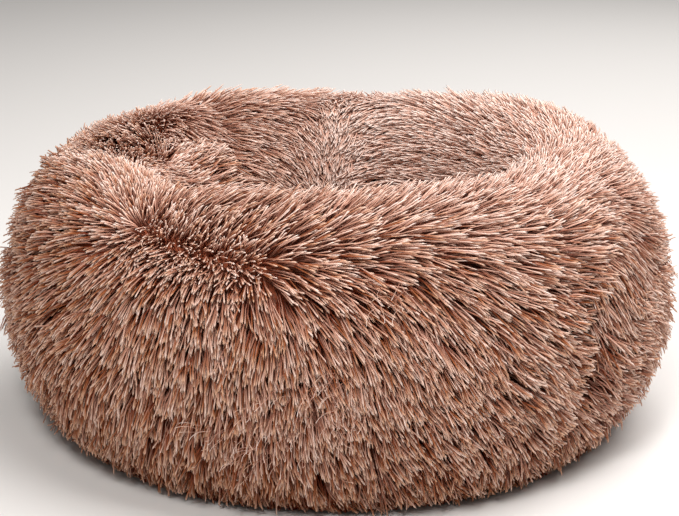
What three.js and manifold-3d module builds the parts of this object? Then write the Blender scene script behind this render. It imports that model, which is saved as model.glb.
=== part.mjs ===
// Donut pet bed: a plush ring around a sunken round nest, on a flat base that zips open underneath.
// Millimetres, +Z up, +X to the right, -Y to the front. The origin is on the floor below the ring's centre.

import * as THREE from "three";
import { mergeVertices } from "three/addons/utils/BufferGeometryUtils.js";
import Module from "manifold-3d";

const wasm = await Module();
wasm.setup();

const degree = Math.PI / 180;

// Driving dimensions of the bed
const outerRadius = 250;
const ringWidth = 149;
const crownInset = 82;
const crownHeight = 209;
const waistHeight = 89;
const nestWaistHeight = 100;
const nestSeamHeight = 62;
const footInset = 48;
const footHeight = 2;
const clearance = 0.3;

// How full the ring's oval section is: 2 is an ellipse, more is squarer, less is straighter
const crownFullness = 2.2;
const footFullness = 1.55;
const nestFullness = 2;

// Faux fur: woven backing and the layer that its lying pile fills
const backingThickness = 2.5;
const furThickness = 20;
const taperShare = 0.16;
const crownSway = 4;
const swayAzimuth = -20 * degree;
const gatherDepth = 2.5;
const gatherCount = 20;
const gatherShare = 0.3;
const seamDepth = 6;
const seamWidth = 20;
const sideSeamAzimuth = -47 * degree;

// Inserts: a fibre-filled ring and a round pad, each in its own thin liner
const linerThickness = 1.2;
const linerEase = 3.5;
const padTuck = 17;
const padRise = 39;
const padWaistRise = 18;
const padFootInset = 22;
const padFullness = 2.6;
const centreCrown = 8;
const centreFullness = 4;

// Base: cloth, wadding and the tape that binds their edge
const baseClothThickness = 1.5;
const baseEdgeInset = 3;
const bindingThickness = 2;
const bindingHeight = 8.4;
const bindingLift = 0.6;

// Zip across the underside
const zipOffset = 60;
const windowEndInset = 31;
const windowHalfWidth = 14;
const hemThickness = 2;
const rowHalfGap = 0.9;
const rowWidth = 2.4;
const rowHeight = 2.6;
const rowEndInset = 21;
const tapeThickness = 0.8;
const stopLength = 3;
const runningGap = 0.3;
const overrun = 0.5;

// Zip slider and its pull
const sliderEndGap = 1;
const sliderHalfLength = 6;
const sliderNoseHalfWidth = 5.8;
const sliderTailHalfWidth = 4.9;
const plateThickness = 1.1;
const flangeThickness = 0.9;
const postHalfWidth = 0.55;
const postLength = 3.4;
const bridgeHalfLength = 3.4;
const bridgeWindowHalfLength = 2.3;
const bridgeWidth = 2.4;
const bridgeThickness = 0.7;
const pullThickness = 1.4;
const pullLength = 20;
const pullHalfWidth = 3.8;
const pullBarHalfWidth = 0.7;
const pullWindowLength = 5.6;
const pullWindowHalfWidth = 1.6;
const pullPlay = 0.45;
const pullFloorGap = 1.6;

// Care label
const labelWidth = 40;
const labelLength = 26;
const labelThickness = 0.6;
const labelLift = 0.9;
const labelAzimuth = 118 * degree;

// Radii, from the outside of the ring inwards
const crownRadius = outerRadius - crownInset;
const footRadius = outerRadius - footInset;
const baseEdgeRadius = footRadius - baseEdgeInset;
const nestRadius = outerRadius - ringWidth;
const padRadius = nestRadius + padTuck;
const padFootRadius = padRadius - padFootInset;

// Lengths along the zip, from the edge of the base inwards
const windowHalfLength = baseEdgeRadius - windowEndInset;
const rowHalfLength = windowHalfLength - rowEndInset;
const sliderHalfTravel = rowHalfLength - sliderHalfLength - sliderEndGap;

// Heights of the stack, from the floor up
const pullAxisHeight = pullFloorGap + pullThickness / 2;
const sliderBottom = pullAxisHeight + pullBarHalfWidth + clearance + pullPlay;
const rowBottom = sliderBottom + plateThickness + runningGap;
const rowTop = rowBottom + rowHeight;
const tapeBottom = rowTop + clearance;
const tapeTop = tapeBottom + tapeThickness;
const sliderTop = tapeTop + runningGap + plateThickness;
const waddingTop = sliderTop + clearance;
const insertFloor = waddingTop + clearance;
const padTop = insertFloor + padRise;
const padWaistHeight = insertFloor + padWaistRise;

// Facet counts
const panelSteps = 36;
const panelOuterPoints = 16;
const panelInnerPoints = 16;
const hiddenSteps = 40;
const ringSteps = 2 * panelSteps;
const sectionQuarter = 3;

const finishes = {
  fur: new THREE.MeshStandardMaterial({ color: 0xa87c66, roughness: 0.95, metalness: 0 }),
  nestFur: new THREE.MeshStandardMaterial({ color: 0xb48b75, roughness: 0.95, metalness: 0 }),
  liner: new THREE.MeshStandardMaterial({ color: 0xe9e6df, roughness: 0.9, metalness: 0 }),
  fibre: new THREE.MeshStandardMaterial({ color: 0xf7f7f4, roughness: 1, metalness: 0 }),
  baseCloth: new THREE.MeshStandardMaterial({ color: 0x6b4e40, roughness: 0.8, metalness: 0 }),
  binding: new THREE.MeshStandardMaterial({ color: 0x5a4034, roughness: 0.85, metalness: 0 }),
  zipTape: new THREE.MeshStandardMaterial({ color: 0x64483a, roughness: 0.85, metalness: 0 }),
  zipRow: new THREE.MeshStandardMaterial({ color: 0x4c362b, roughness: 0.45, metalness: 0 }),
  metal: new THREE.MeshStandardMaterial({ color: 0xb9b9bb, roughness: 0.35, metalness: 1 }),
  label: new THREE.MeshStandardMaterial({ color: 0xf2efe8, roughness: 0.8, metalness: 0 }),
};

const bed = new THREE.Group();

// Adds one piece of the bed, in its finish, at its place.
function addPiece(name, geometry, finish, parent = bed) {
  const mesh = new THREE.Mesh(geometry, finish);
  mesh.name = name;
  parent.add(mesh);
  return mesh;
}

// The closed solid of a geometry, for joining.
function solidOf(geometry) {
  const bare = geometry.index ? geometry.toNonIndexed() : geometry.clone();
  bare.deleteAttribute("normal");
  bare.deleteAttribute("uv");
  const merged = mergeVertices(bare);
  return new wasm.Manifold(new wasm.Mesh({
    numProp: 3,
    vertProperties: merged.attributes.position.array,
    triVerts: new Uint32Array(merged.index.array),
  }));
}

// One geometry from several that overlap each other.
function joined(geometries) {
  const solid = geometries.map(solidOf).reduce((whole, next) => whole.add(next));
  const mesh = solid.getMesh();
  const geometry = new THREE.BufferGeometry();
  geometry.setAttribute("position", new THREE.Float32BufferAttribute(mesh.vertProperties, 3));
  geometry.setIndex([...mesh.triVerts]);
  return geometry;
}

// A flat outline given a thickness upwards from a height.
function plate(outline, bottom, thickness) {
  const geometry = new THREE.ExtrudeGeometry(outline, {
    depth: thickness,
    bevelEnabled: false,
    curveSegments: panelSteps,
  });
  return geometry.translate(0, 0, bottom);
}

// A rectangle's outline from its two corners.
function rectangle(left, front, right, rear) {
  return new THREE.Shape([
    new THREE.Vector2(left, front),
    new THREE.Vector2(right, front),
    new THREE.Vector2(right, rear),
    new THREE.Vector2(left, rear),
  ]);
}

// A closed profile of radius and height turned once round the bed's axis.
function turned(profile, steps) {
  const loop = THREE.ShapeUtils.area(profile) < 0 ? [...profile].reverse() : profile;
  const start = loop.findIndex((point, i) => point.x === 0 && loop.at(i - 1).x === 0);
  const points = start < 0 ? [...loop, loop[0]] : [...loop.slice(start), ...loop.slice(0, start)];
  return new THREE.LatheGeometry(points, steps).rotateX(Math.PI / 2);
}

// The ring's oval section

// A point of the oval, as radius and height. The turn runs from the foot at -90 degrees out round the
// waist, over the crown at 90 degrees and down the nest wall. An inset gives the layers inside.
function ovalPoint(turn, inset, floor) {
  const across = Math.cos(turn);
  const up = Math.sin(turn);
  const outside = across >= 0;
  const above = up >= 0;
  const fullness = !outside ? nestFullness : above ? crownFullness : footFullness;
  const middle = outside && !above ? footRadius - inset : crownRadius;
  const side = outside ? outerRadius - inset : nestRadius + inset;
  const waist = outside ? waistHeight : nestWaistHeight;
  const end = above ? crownHeight - inset : floor;
  const reach = (Math.abs(across) ** fullness + Math.abs(up) ** fullness) ** (-1 / fullness);
  return new THREE.Vector2(
    middle + (side - middle) * Math.abs(across) * reach,
    waist + (end - waist) * Math.abs(up) * reach,
  );
}

const footTurn = -90 * degree;
const crownTurn = 90 * degree;
const nestTurn = 180 * degree;
const closingTurn = 270 * degree;
const seamTurn = nestTurn + Math.asin((nestWaistHeight - nestSeamHeight) / (nestWaistHeight - footHeight));
const turnStep = 0.01;

// The direction that points out of the oval.
function ovalNormal(turn) {
  const before = ovalPoint(Math.max(turn - turnStep, footTurn), 0, footHeight);
  const after = ovalPoint(Math.min(turn + turnStep, seamTurn), 0, footHeight);
  const along = after.sub(before).normalize();
  return new THREE.Vector2(along.y, -along.x);
}

// A smooth rise from 0 to 1 as the share goes from 0 to 1.
function smooth(share) {
  const held = Math.min(Math.max(share, 0), 1);
  return held * held * (3 - 2 * held);
}

// How far the stuffed fur stands proud of the plain oval: the crown that sways round the ring, the
// side seams that are drawn in, and the gathers above the nest seam.
function furSwell(turn, azimuth) {
  const share = (turn - footTurn) / (seamTurn - footTurn);
  const crown = Math.max(Math.sin(turn), 0) ** 2;
  const seamArc = outerRadius * Math.asin(Math.sin(azimuth - sideSeamAzimuth));
  const seam = Math.exp(-((seamArc / seamWidth) ** 2)) * smooth((1 - share) / taperShare) * smooth(share / taperShare);
  const gather = smooth((share - 1 + gatherShare) / gatherShare) * (1 + Math.cos(gatherCount * azimuth)) / 2;
  return crownSway * crown * Math.cos(azimuth - swayAzimuth) - seamDepth * seam - gatherDepth * gather;
}

// The fur's thickness from its backing to the tips of the lying pile, thin where it is sewn.
function furDepth(turn) {
  const share = (turn - footTurn) / (seamTurn - footTurn);
  return backingThickness + (furThickness - backingThickness) * smooth(Math.min(share, 1 - share) / taperShare);
}

// The fur panel's section at an azimuth: out over the pile, and back along the backing.
function panelSection(azimuth) {
  const points = [];
  for (let i = 0; i < panelOuterPoints; i++) {
    const turn = footTurn + (seamTurn - footTurn) * i / (panelOuterPoints - 1);
    points.push(ovalPoint(turn, 0, footHeight).addScaledVector(ovalNormal(turn), furSwell(turn, azimuth)));
  }
  for (let i = panelInnerPoints - 1; i >= 0; i--) {
    const turn = footTurn + (seamTurn - footTurn) * i / (panelInnerPoints - 1);
    points.push(ovalPoint(turn, 0, footHeight).addScaledVector(ovalNormal(turn), -furDepth(turn)));
  }
  return points;
}

// A closed solid that carries a section round part of the ring.
function swept(section, start, end, steps) {
  const rows = [];
  for (let i = 0; i <= steps; i++) {
    const azimuth = start + (end - start) * i / steps;
    rows.push(section(azimuth).map((p) => [p.x * Math.cos(azimuth), p.x * Math.sin(azimuth), p.y]));
  }
  const count = rows[0].length;
  const cap = THREE.ShapeUtils.triangulateShape(section(start), []);
  const lastCap = THREE.ShapeUtils.triangulateShape(section(end), []);
  const faces = [];
  for (let i = 0; i < steps; i++) {
    for (let j = 0; j < count; j++) {
      const next = (j + 1) % count;
      const corner = i * count + j;
      const beside = i * count + next;
      faces.push(corner, corner + count, beside, beside, corner + count, beside + count);
    }
  }
  cap.forEach(([a, b, c]) => faces.push(a, b, c));
  lastCap.forEach(([a, b, c]) => faces.push(a + steps * count, c + steps * count, b + steps * count));
  const geometry = new THREE.BufferGeometry();
  geometry.setAttribute("position", new THREE.Float32BufferAttribute(rows.flat(2), 3));
  geometry.setIndex(faces);
  return geometry;
}

// Fur panels: two half rings sewn to each other at the side seams

const seamAngle = clearance / nestRadius / 2;
for (const [name, start] of [["fur_panel_front", sideSeamAzimuth - nestTurn], ["fur_panel_rear", sideSeamAzimuth]]) {
  addPiece(name, swept(panelSection, start + seamAngle, start + nestTurn - seamAngle, panelSteps), finishes.fur);
}

// Centre panel: the nest's plush floor, crowned, sewn in at the nest seam

const nestSeamRadius = ovalPoint(seamTurn, 0, footHeight).x;
const centreRadius = nestSeamRadius - clearance;
const centreRimHeight = nestSeamHeight - clearance;

// The pad's top surface at a radius.
function padSurface(radius) {
  const reach = (1 - (radius / padRadius) ** padFullness) ** (1 / padFullness);
  return padWaistHeight + (padTop - padWaistHeight) * reach;
}

const centreRings = 7;
const centreTop = [];
const centreUnderside = [];
for (let i = 0; i <= centreRings; i++) {
  const radius = centreRadius * Math.sin(crownTurn * i / centreRings);
  const rise = centreCrown * (1 - (radius / centreRadius) ** centreFullness);
  centreTop.push(new THREE.Vector2(radius, centreRimHeight + rise));
  centreUnderside.push(new THREE.Vector2(radius, padSurface(radius) + clearance));
}
addPiece("centre_panel", turned([...centreUnderside, ...centreTop.reverse()], ringSteps), finishes.nestFur);

// Bolster insert: liner sewn from a top and a bottom ring, round loose fibre

const linerInset = furThickness + linerEase;

// Part of the ring's oval at an inset, as a run of points.
function ovalRun(from, to, inset, floor) {
  const count = Math.round((to - from) / crownTurn) * sectionQuarter;
  return Array.from({ length: count + 1 }, (_, i) => ovalPoint(from + (to - from) * i / count, inset, floor));
}

// A liner ring: a run of the oval with the cloth's thickness inside it.
function linerRing(from, to) {
  const outside = ovalRun(from, to, linerInset, insertFloor);
  const inside = ovalRun(from, to, linerInset + linerThickness, insertFloor + linerThickness);
  return turned([...outside, ...inside.reverse()], hiddenSteps);
}

// The bottom ring runs from the nest side under the flat foot to the outer side.
function lowerLinerRing() {
  const inset = linerInset + linerThickness;
  const floor = insertFloor + linerThickness;
  const outside = [
    ...ovalRun(nestTurn, closingTurn, linerInset, insertFloor),
    ...ovalRun(footTurn, 0, linerInset, insertFloor),
  ];
  const inside = [...ovalRun(nestTurn, closingTurn, inset, floor), ...ovalRun(footTurn, 0, inset, floor)];
  const seam = (point) => new THREE.Vector2(point.x, point.y - clearance);
  outside[0] = seam(outside[0]);
  outside[outside.length - 1] = seam(outside[outside.length - 1]);
  inside[0] = seam(inside[0]);
  inside[inside.length - 1] = seam(inside[inside.length - 1]);
  return turned([...outside, ...inside.reverse()], hiddenSteps);
}

const fillInset = linerInset + linerThickness + clearance;
const fillFloor = insertFloor + linerThickness + clearance;
addPiece("bolster_liner_top", linerRing(0, nestTurn), finishes.liner);
addPiece("bolster_liner_bottom", lowerLinerRing(), finishes.liner);
addPiece("bolster_fill", turned([
  ...ovalRun(footTurn, nestTurn, fillInset, fillFloor),
  ...ovalRun(nestTurn, closingTurn, fillInset, fillFloor).slice(1),
], hiddenSteps), finishes.fibre);

// Pad insert: a round liner of two discs, round a fibre pad

// The pad's upper half at an inset, from the axis to the waist.
function padUpper(inset) {
  const radius = padRadius - inset;
  const points = [];
  for (let i = 0; i <= centreRings; i++) {
    const across = radius * Math.sin(crownTurn * i / centreRings);
    const reach = (1 - Math.min(across / radius, 1) ** padFullness) ** (1 / padFullness);
    points.push(new THREE.Vector2(across, padWaistHeight + (padTop - inset - padWaistHeight) * reach));
  }
  return points;
}

// The pad's lower half at an inset, from the waist to the axis.
function padLower(inset, drop) {
  return [
    new THREE.Vector2(padRadius - inset, padWaistHeight - drop),
    new THREE.Vector2(padFootRadius - inset, insertFloor + inset),
    new THREE.Vector2(0, insertFloor + inset),
  ];
}

const padInset = linerThickness;
addPiece("pad_liner_top", turned([...padUpper(0), ...padUpper(padInset).reverse()], hiddenSteps), finishes.liner);
addPiece(
  "pad_liner_bottom",
  turned([...padLower(0, clearance), ...padLower(padInset, clearance).reverse()], hiddenSteps),
  finishes.liner,
);
const padFillInset = linerThickness + clearance;
addPiece("pad_fill", turned([...padUpper(padFillInset), ...padLower(padFillInset, 0).slice(1)], hiddenSteps), finishes.fibre);

// Base: two half discs of non-slip cloth with a window for the zip, wadding above, tape round the edge

// The outline of the half disc on one side of the zip, with a notch of its own for the zip.
function halfDisc(radius, side, notchHalfLength, notchWidth) {
  const edge = zipOffset + side * clearance / 2;
  const start = Math.asin(edge / radius);
  const lowEnd = side > 0 ? start : Math.PI - start;
  const highEnd = side > 0 ? Math.PI - start : 2 * Math.PI + start;
  const outline = new THREE.Shape();
  outline.absarc(0, 0, radius, lowEnd, highEnd, false);
  outline.lineTo(-side * notchHalfLength, edge);
  outline.lineTo(-side * notchHalfLength, zipOffset + side * notchWidth);
  outline.lineTo(side * notchHalfLength, zipOffset + side * notchWidth);
  outline.lineTo(side * notchHalfLength, edge);
  return outline;
}

// The upturned hem along the three sides of one half of the zip's window.
function hemOutline(side) {
  const edge = zipOffset + side * clearance / 2;
  const inner = zipOffset + side * windowHalfWidth;
  const outer = zipOffset + side * (windowHalfWidth + hemThickness);
  const far = windowHalfLength + hemThickness;
  return new THREE.Shape([
    new THREE.Vector2(-far, edge),
    new THREE.Vector2(-far, outer),
    new THREE.Vector2(far, outer),
    new THREE.Vector2(far, edge),
    new THREE.Vector2(windowHalfLength, edge),
    new THREE.Vector2(windowHalfLength, inner),
    new THREE.Vector2(-windowHalfLength, inner),
    new THREE.Vector2(-windowHalfLength, edge),
  ]);
}

const hemTop = tapeBottom - clearance;
const waddingBottom = baseClothThickness + clearance;
const waddingEdgeRadius = baseEdgeRadius;
const notchClearance = hemThickness + clearance;
for (const [place, side] of [["front", -1], ["rear", 1]]) {
  addPiece("base_panel_" + place, joined([
    plate(halfDisc(baseEdgeRadius, side, windowHalfLength, windowHalfWidth), 0, baseClothThickness),
    plate(hemOutline(side), 0, hemTop),
  ]), finishes.baseCloth);
  addPiece("base_wadding_" + place, plate(
    halfDisc(waddingEdgeRadius, side, windowHalfLength + notchClearance, windowHalfWidth + notchClearance),
    waddingBottom,
    waddingTop - waddingBottom,
  ), finishes.fibre);
}

const bindingInner = baseEdgeRadius + clearance;
const bindingOuter = bindingInner + bindingThickness;
addPiece("base_binding", turned([
  new THREE.Vector2(bindingInner, bindingLift),
  new THREE.Vector2(bindingOuter, bindingLift),
  new THREE.Vector2(bindingOuter, bindingLift + bindingHeight),
  new THREE.Vector2(bindingInner, bindingLift + bindingHeight),
], ringSteps), finishes.binding);

// Zip: two tapes sewn on the hems, a row on each, a stop at each end

const tapeOuter = windowHalfWidth + hemThickness;
const tapeHalfLength = windowHalfLength + hemThickness;
for (const [place, side] of [["front", -1], ["rear", 1]]) {
  const strip = (inner, outer, halfLength) => rectangle(
    -halfLength,
    zipOffset + Math.min(side * inner, side * outer),
    halfLength,
    zipOffset + Math.max(side * inner, side * outer),
  );
  const tape = strip(rowHalfGap, tapeOuter, tapeHalfLength);
  const row = strip(rowHalfGap, rowHalfGap + rowWidth, rowHalfLength);
  addPiece("zip_tape_" + place, plate(tape, tapeBottom, tapeThickness), finishes.zipTape);
  addPiece("zip_row_" + place, plate(row, rowBottom, rowHeight), finishes.zipRow);
}

const stopHalfWidth = rowHalfGap + rowWidth;
for (const [name, side] of [["zip_top_stop", -1], ["zip_bottom_stop", 1]]) {
  const near = side * (rowHalfLength + clearance);
  const far = side * (rowHalfLength + clearance + stopLength);
  const outline = rectangle(Math.min(near, far), -stopHalfWidth, Math.max(near, far), stopHalfWidth);
  addPiece(name, plate(outline, rowBottom, rowHeight), finishes.metal).position.y = zipOffset;
}

// Zip slider: two plates held apart by a post, with flanges round the rows and a bridge for the pull

// The slider's plates seen from below, wide at the nose and narrow at the tail.
const sliderOutline = new THREE.Shape();
sliderOutline.moveTo(-sliderHalfLength, -sliderNoseHalfWidth);
sliderOutline.quadraticCurveTo(0, -sliderNoseHalfWidth, sliderHalfLength, -sliderTailHalfWidth);
sliderOutline.lineTo(sliderHalfLength, sliderTailHalfWidth);
sliderOutline.quadraticCurveTo(0, sliderNoseHalfWidth, -sliderHalfLength, sliderNoseHalfWidth);

const flangeHeight = plateThickness + runningGap + rowHeight;
const channelHeight = sliderTop - sliderBottom;
const flanges = [-1, 1].map((side) => {
  const inner = side * (sliderTailHalfWidth - flangeThickness);
  const outer = side * sliderTailHalfWidth;
  const outline = rectangle(-sliderHalfLength, Math.min(inner, outer), sliderHalfLength, Math.max(inner, outer));
  return plate(outline, sliderBottom, flangeHeight);
});
const postOutline = rectangle(-sliderHalfLength, -postHalfWidth, postLength - sliderHalfLength, postHalfWidth);
const bridgeTop = pullAxisHeight - pullBarHalfWidth - clearance - clearance;
const bridgeBottom = bridgeTop - bridgeThickness;
const bridgeOutline = new THREE.Shape([
  new THREE.Vector2(-bridgeHalfLength, bridgeBottom),
  new THREE.Vector2(bridgeHalfLength, bridgeBottom),
  new THREE.Vector2(bridgeHalfLength, sliderBottom + overrun),
  new THREE.Vector2(bridgeWindowHalfLength, sliderBottom + overrun),
  new THREE.Vector2(bridgeWindowHalfLength, bridgeTop),
  new THREE.Vector2(-bridgeWindowHalfLength, bridgeTop),
  new THREE.Vector2(-bridgeWindowHalfLength, sliderBottom + overrun),
  new THREE.Vector2(-bridgeHalfLength, sliderBottom + overrun),
]);
const bridge = new THREE.ExtrudeGeometry(bridgeOutline, { depth: bridgeWidth, bevelEnabled: false });
bridge.rotateX(Math.PI / 2).translate(0, bridgeWidth / 2, 0);

const slider = new THREE.Group();
slider.position.set(-sliderHalfTravel, zipOffset, 0);
bed.add(slider);
addPiece("zip_slider", joined([
  plate(sliderOutline, sliderBottom, plateThickness),
  plate(sliderOutline, sliderTop - plateThickness, plateThickness),
  plate(postOutline, sliderBottom, channelHeight),
  ...flanges,
  bridge,
]), finishes.metal, slider);

// Zip pull: a tab with a window whose near side is the bar that turns under the bridge

const pullRound = pullHalfWidth;
const pullOutline = new THREE.Shape();
pullOutline.moveTo(-pullBarHalfWidth, -pullHalfWidth);
pullOutline.lineTo(pullLength - pullRound, -pullHalfWidth);
pullOutline.absarc(pullLength - pullRound, 0, pullRound, -crownTurn, crownTurn, false);
pullOutline.lineTo(-pullBarHalfWidth, pullHalfWidth);
pullOutline.holes.push(rectangle(
  pullBarHalfWidth,
  -pullWindowHalfWidth,
  pullBarHalfWidth + pullWindowLength,
  pullWindowHalfWidth,
));
const pullSteps = 8;
const pull = new THREE.ExtrudeGeometry(pullOutline, {
  depth: pullThickness,
  bevelEnabled: false,
  curveSegments: pullSteps,
});
addPiece("zip_pull", pull.translate(0, 0, pullAxisHeight - pullThickness / 2), finishes.metal, slider);

// Care label: a blank folded strip caught in the base seam at the rear

const labelInner = bindingOuter + clearance;
const label = new THREE.Group();
label.rotation.z = labelAzimuth;
bed.add(label);
addPiece("care_label", plate(
  rectangle(labelInner, -labelWidth / 2, labelInner + labelLength, labelWidth / 2),
  labelLift,
  labelThickness,
), finishes.label, label);

export default bed;
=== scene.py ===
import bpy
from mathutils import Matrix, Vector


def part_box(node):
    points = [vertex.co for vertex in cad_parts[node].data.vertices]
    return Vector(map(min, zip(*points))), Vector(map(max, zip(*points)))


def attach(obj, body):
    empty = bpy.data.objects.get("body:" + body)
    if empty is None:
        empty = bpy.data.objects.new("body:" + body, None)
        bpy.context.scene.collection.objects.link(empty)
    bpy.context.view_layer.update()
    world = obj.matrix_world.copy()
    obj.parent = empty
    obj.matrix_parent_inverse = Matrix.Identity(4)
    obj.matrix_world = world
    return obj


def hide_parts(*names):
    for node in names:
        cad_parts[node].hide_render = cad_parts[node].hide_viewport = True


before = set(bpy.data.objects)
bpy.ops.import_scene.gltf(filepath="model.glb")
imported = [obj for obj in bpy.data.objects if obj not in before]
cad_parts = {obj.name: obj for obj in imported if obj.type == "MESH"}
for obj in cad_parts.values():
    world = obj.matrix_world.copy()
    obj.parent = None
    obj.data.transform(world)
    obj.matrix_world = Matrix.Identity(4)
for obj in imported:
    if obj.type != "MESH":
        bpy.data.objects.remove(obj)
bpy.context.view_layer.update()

import math

import bmesh
import bpy
import numpy as np
from mathutils import Vector

# The room: a plain pale floor, lit softly by square lamps over the bed, in front of it and behind it.
# The camera looks down a little from in front, and the picture is cut as the photograph is.

MM = 0.001
PHOTO_WIDTH = 679
PHOTO_HEIGHT = 516
CAMERA_RISE = math.radians(17.73)
CAMERA_DISTANCE = 1.298
AIM_HEIGHT = 0.1
AIM_PIXEL_ACROSS = 338
AIM_PIXEL_DOWN = 274.8
FOCAL_PIXELS = 1710
SENSOR_WIDTH = 36
SIGHT_LIMIT = 30


def add_object(name, data):
    """An object in the scene that shows a camera, a lamp or a mesh."""
    made = bpy.data.objects.new(name, data)
    bpy.context.scene.collection.objects.link(made)
    return made


camera_data = bpy.data.cameras.new("camera")
camera_data.sensor_width = SENSOR_WIDTH
camera_data.lens = FOCAL_PIXELS / PHOTO_WIDTH * SENSOR_WIDTH
camera_data.shift_x = (PHOTO_WIDTH / 2 - AIM_PIXEL_ACROSS) / PHOTO_WIDTH
camera_data.shift_y = (AIM_PIXEL_DOWN - PHOTO_HEIGHT / 2) / PHOTO_WIDTH
camera_data.clip_end = SIGHT_LIMIT
camera = add_object("camera", camera_data)
camera.location = (
    0,
    -CAMERA_DISTANCE * math.cos(CAMERA_RISE),
    AIM_HEIGHT + CAMERA_DISTANCE * math.sin(CAMERA_RISE),
)
camera.rotation_euler = (math.pi / 2 - CAMERA_RISE, 0, 0)
bpy.context.scene.camera = camera
bpy.context.scene.view_settings.view_transform = "Standard"


def linear(red, green, blue):
    """A screen colour, each part from 0 to 255, as the shader's own numbers, by the sRGB rule."""
    parts = []
    for part in (red, green, blue):
        share = part / 255
        parts.append(share / 12.92 if share < 0.04045 else ((share + 0.055) / 1.055) ** 2.4)
    return (*parts, 1.0)


class Wire:
    """A number that nodes work out. A sum on it is written as it reads, and adds its Math nodes."""

    def __init__(self, maker, node, socket):
        self.maker = maker
        self.node = node
        self.socket = socket

    def out(self, name):
        return self.maker.wire(self.node, name)

    def sum(self, operation, *values):
        return self.maker.add("ShaderNodeMath", {"operation": operation}, dict(enumerate(values)))

    def __add__(self, other):
        return self.sum("ADD", self, other)

    def __radd__(self, other):
        return self.sum("ADD", other, self)

    def __sub__(self, other):
        return self.sum("SUBTRACT", self, other)

    def __rsub__(self, other):
        return self.sum("SUBTRACT", other, self)

    def __mul__(self, other):
        if isinstance(other, Arrow):
            return other * self
        return self.sum("MULTIPLY", self, other)

    def __rmul__(self, other):
        return self.sum("MULTIPLY", other, self)

    def __truediv__(self, other):
        return self.sum("DIVIDE", self, other)

    def __rtruediv__(self, other):
        return self.sum("DIVIDE", other, self)

    def __pow__(self, other):
        return self.sum("POWER", self, other)

    def apply(self, operation, *values):
        return self.sum(operation, self, *values)


class Arrow(Wire):
    """A vector or a colour that nodes work out. A sum on it adds its Vector Math nodes."""

    def step(self, operation, *values):
        return self.maker.add("ShaderNodeVectorMath", {"operation": operation}, dict(enumerate(values)))

    def __add__(self, other):
        return self.step("ADD", self, other)

    def __sub__(self, other):
        return self.step("SUBTRACT", self, other)

    def __mul__(self, other):
        if isinstance(other, Arrow) or isinstance(other, tuple):
            return self.step("MULTIPLY", self, other)
        return self.maker.add("ShaderNodeVectorMath", {"operation": "SCALE"}, {0: self, "Scale": other})

    __rmul__ = __mul__

    def unit(self):
        return self.step("NORMALIZE", self)

    def dot(self, other):
        return self.step("DOT_PRODUCT", self, other).out("Value")

    def cross(self, other):
        return self.step("CROSS_PRODUCT", self, other)

    def part(self, name):
        return self.maker.add("ShaderNodeSeparateXYZ", None, {0: self}).out(name)


class Maker:
    """Adds nodes to one tree: a node's settings are set first, then its sockets, by value or by wire."""

    def __init__(self, tree):
        self.tree = tree

    @staticmethod
    def find(sockets, key):
        if isinstance(key, int):
            return sockets[key]
        return next(s for s in sockets if s.enabled and key in (s.name, s.identifier))

    def wire(self, node, name):
        socket = self.find(node.outputs, name)
        kind = Arrow if socket.type in ("VECTOR", "RGBA") else Wire
        return kind(self, node, socket)

    def add(self, kind, settings=None, sockets=None):
        node = self.tree.nodes.new(kind)
        for key, value in (settings or {}).items():
            if key == "stops":
                self.set_stops(node.color_ramp, value)
            else:
                setattr(node, key, value)
        for key, value in (sockets or {}).items():
            socket = self.find(node.inputs, key)
            if isinstance(value, Wire):
                self.tree.links.new(value.socket, socket)
            else:
                socket.default_value = value
        shown = [s for s in node.outputs if s.enabled]
        return self.wire(node, shown[0].name) if shown else Wire(self, node, None)

    @staticmethod
    def set_stops(ramp, stops):
        while len(ramp.elements) < len(stops):
            ramp.elements.new(1.0)
        for element, (place, colour) in zip(ramp.elements, stops):
            element.position = place
            element.color = colour

    def blend(self, share, first, second, way="MIX"):
        """One colour going over into another, by a share."""
        return self.add(
            "ShaderNodeMix",
            {"data_type": "RGBA", "blend_type": way},
            {"Factor_Float": share, "A_Color": first, "B_Color": second},
        ).out("Result_Color")


def finish_maker(name):
    """An empty material and the maker of its nodes."""
    material = bpy.data.materials.new(name)
    material.use_nodes = True
    material.node_tree.nodes.clear()
    return material, Maker(material.node_tree)


def finish_surface(maker, sockets):
    """The shader that a finish ends in."""
    shader = maker.add("ShaderNodeBsdfPrincipled", None, sockets)
    maker.add("ShaderNodeOutputMaterial", None, {"Surface": shader})


FLOOR_HALF_SIZE = 6
FLOOR_COLOUR = linear(218, 215, 212)
ROOM_COLOUR = linear(255, 252, 250)
ROOM_STRENGTH = 0.23

floor_finish, maker = finish_maker("pale_floor")
finish_surface(maker, {"Base Color": FLOOR_COLOUR, "Roughness": 0.9})
floor_mesh = bpy.data.meshes.new("floor")
floor_mesh.from_pydata(
    [(x * FLOOR_HALF_SIZE, y * FLOOR_HALF_SIZE, 0) for x, y in ((-1, -1), (1, -1), (1, 1), (-1, 1))],
    [],
    [(0, 1, 2, 3)],
)
floor_mesh.materials.append(floor_finish)
floor = add_object("floor", floor_mesh)

world = bpy.data.worlds.new("room")
world.use_nodes = True
room_light = world.node_tree.nodes["Background"].inputs
room_light["Color"].default_value = ROOM_COLOUR
room_light["Strength"].default_value = ROOM_STRENGTH
bpy.context.scene.world = world


def add_panel_light(name, place, size, watts, colour):
    """A square studio light that faces the bed."""
    data = bpy.data.lights.new(name, "AREA")
    data.size = size
    data.energy = watts
    data.color = colour
    light = add_object(name, data)
    light.location = place
    aim = Vector((0, 0, AIM_HEIGHT)) - light.location
    light.rotation_euler = aim.to_track_quat("-Z", "Y").to_euler()


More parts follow.
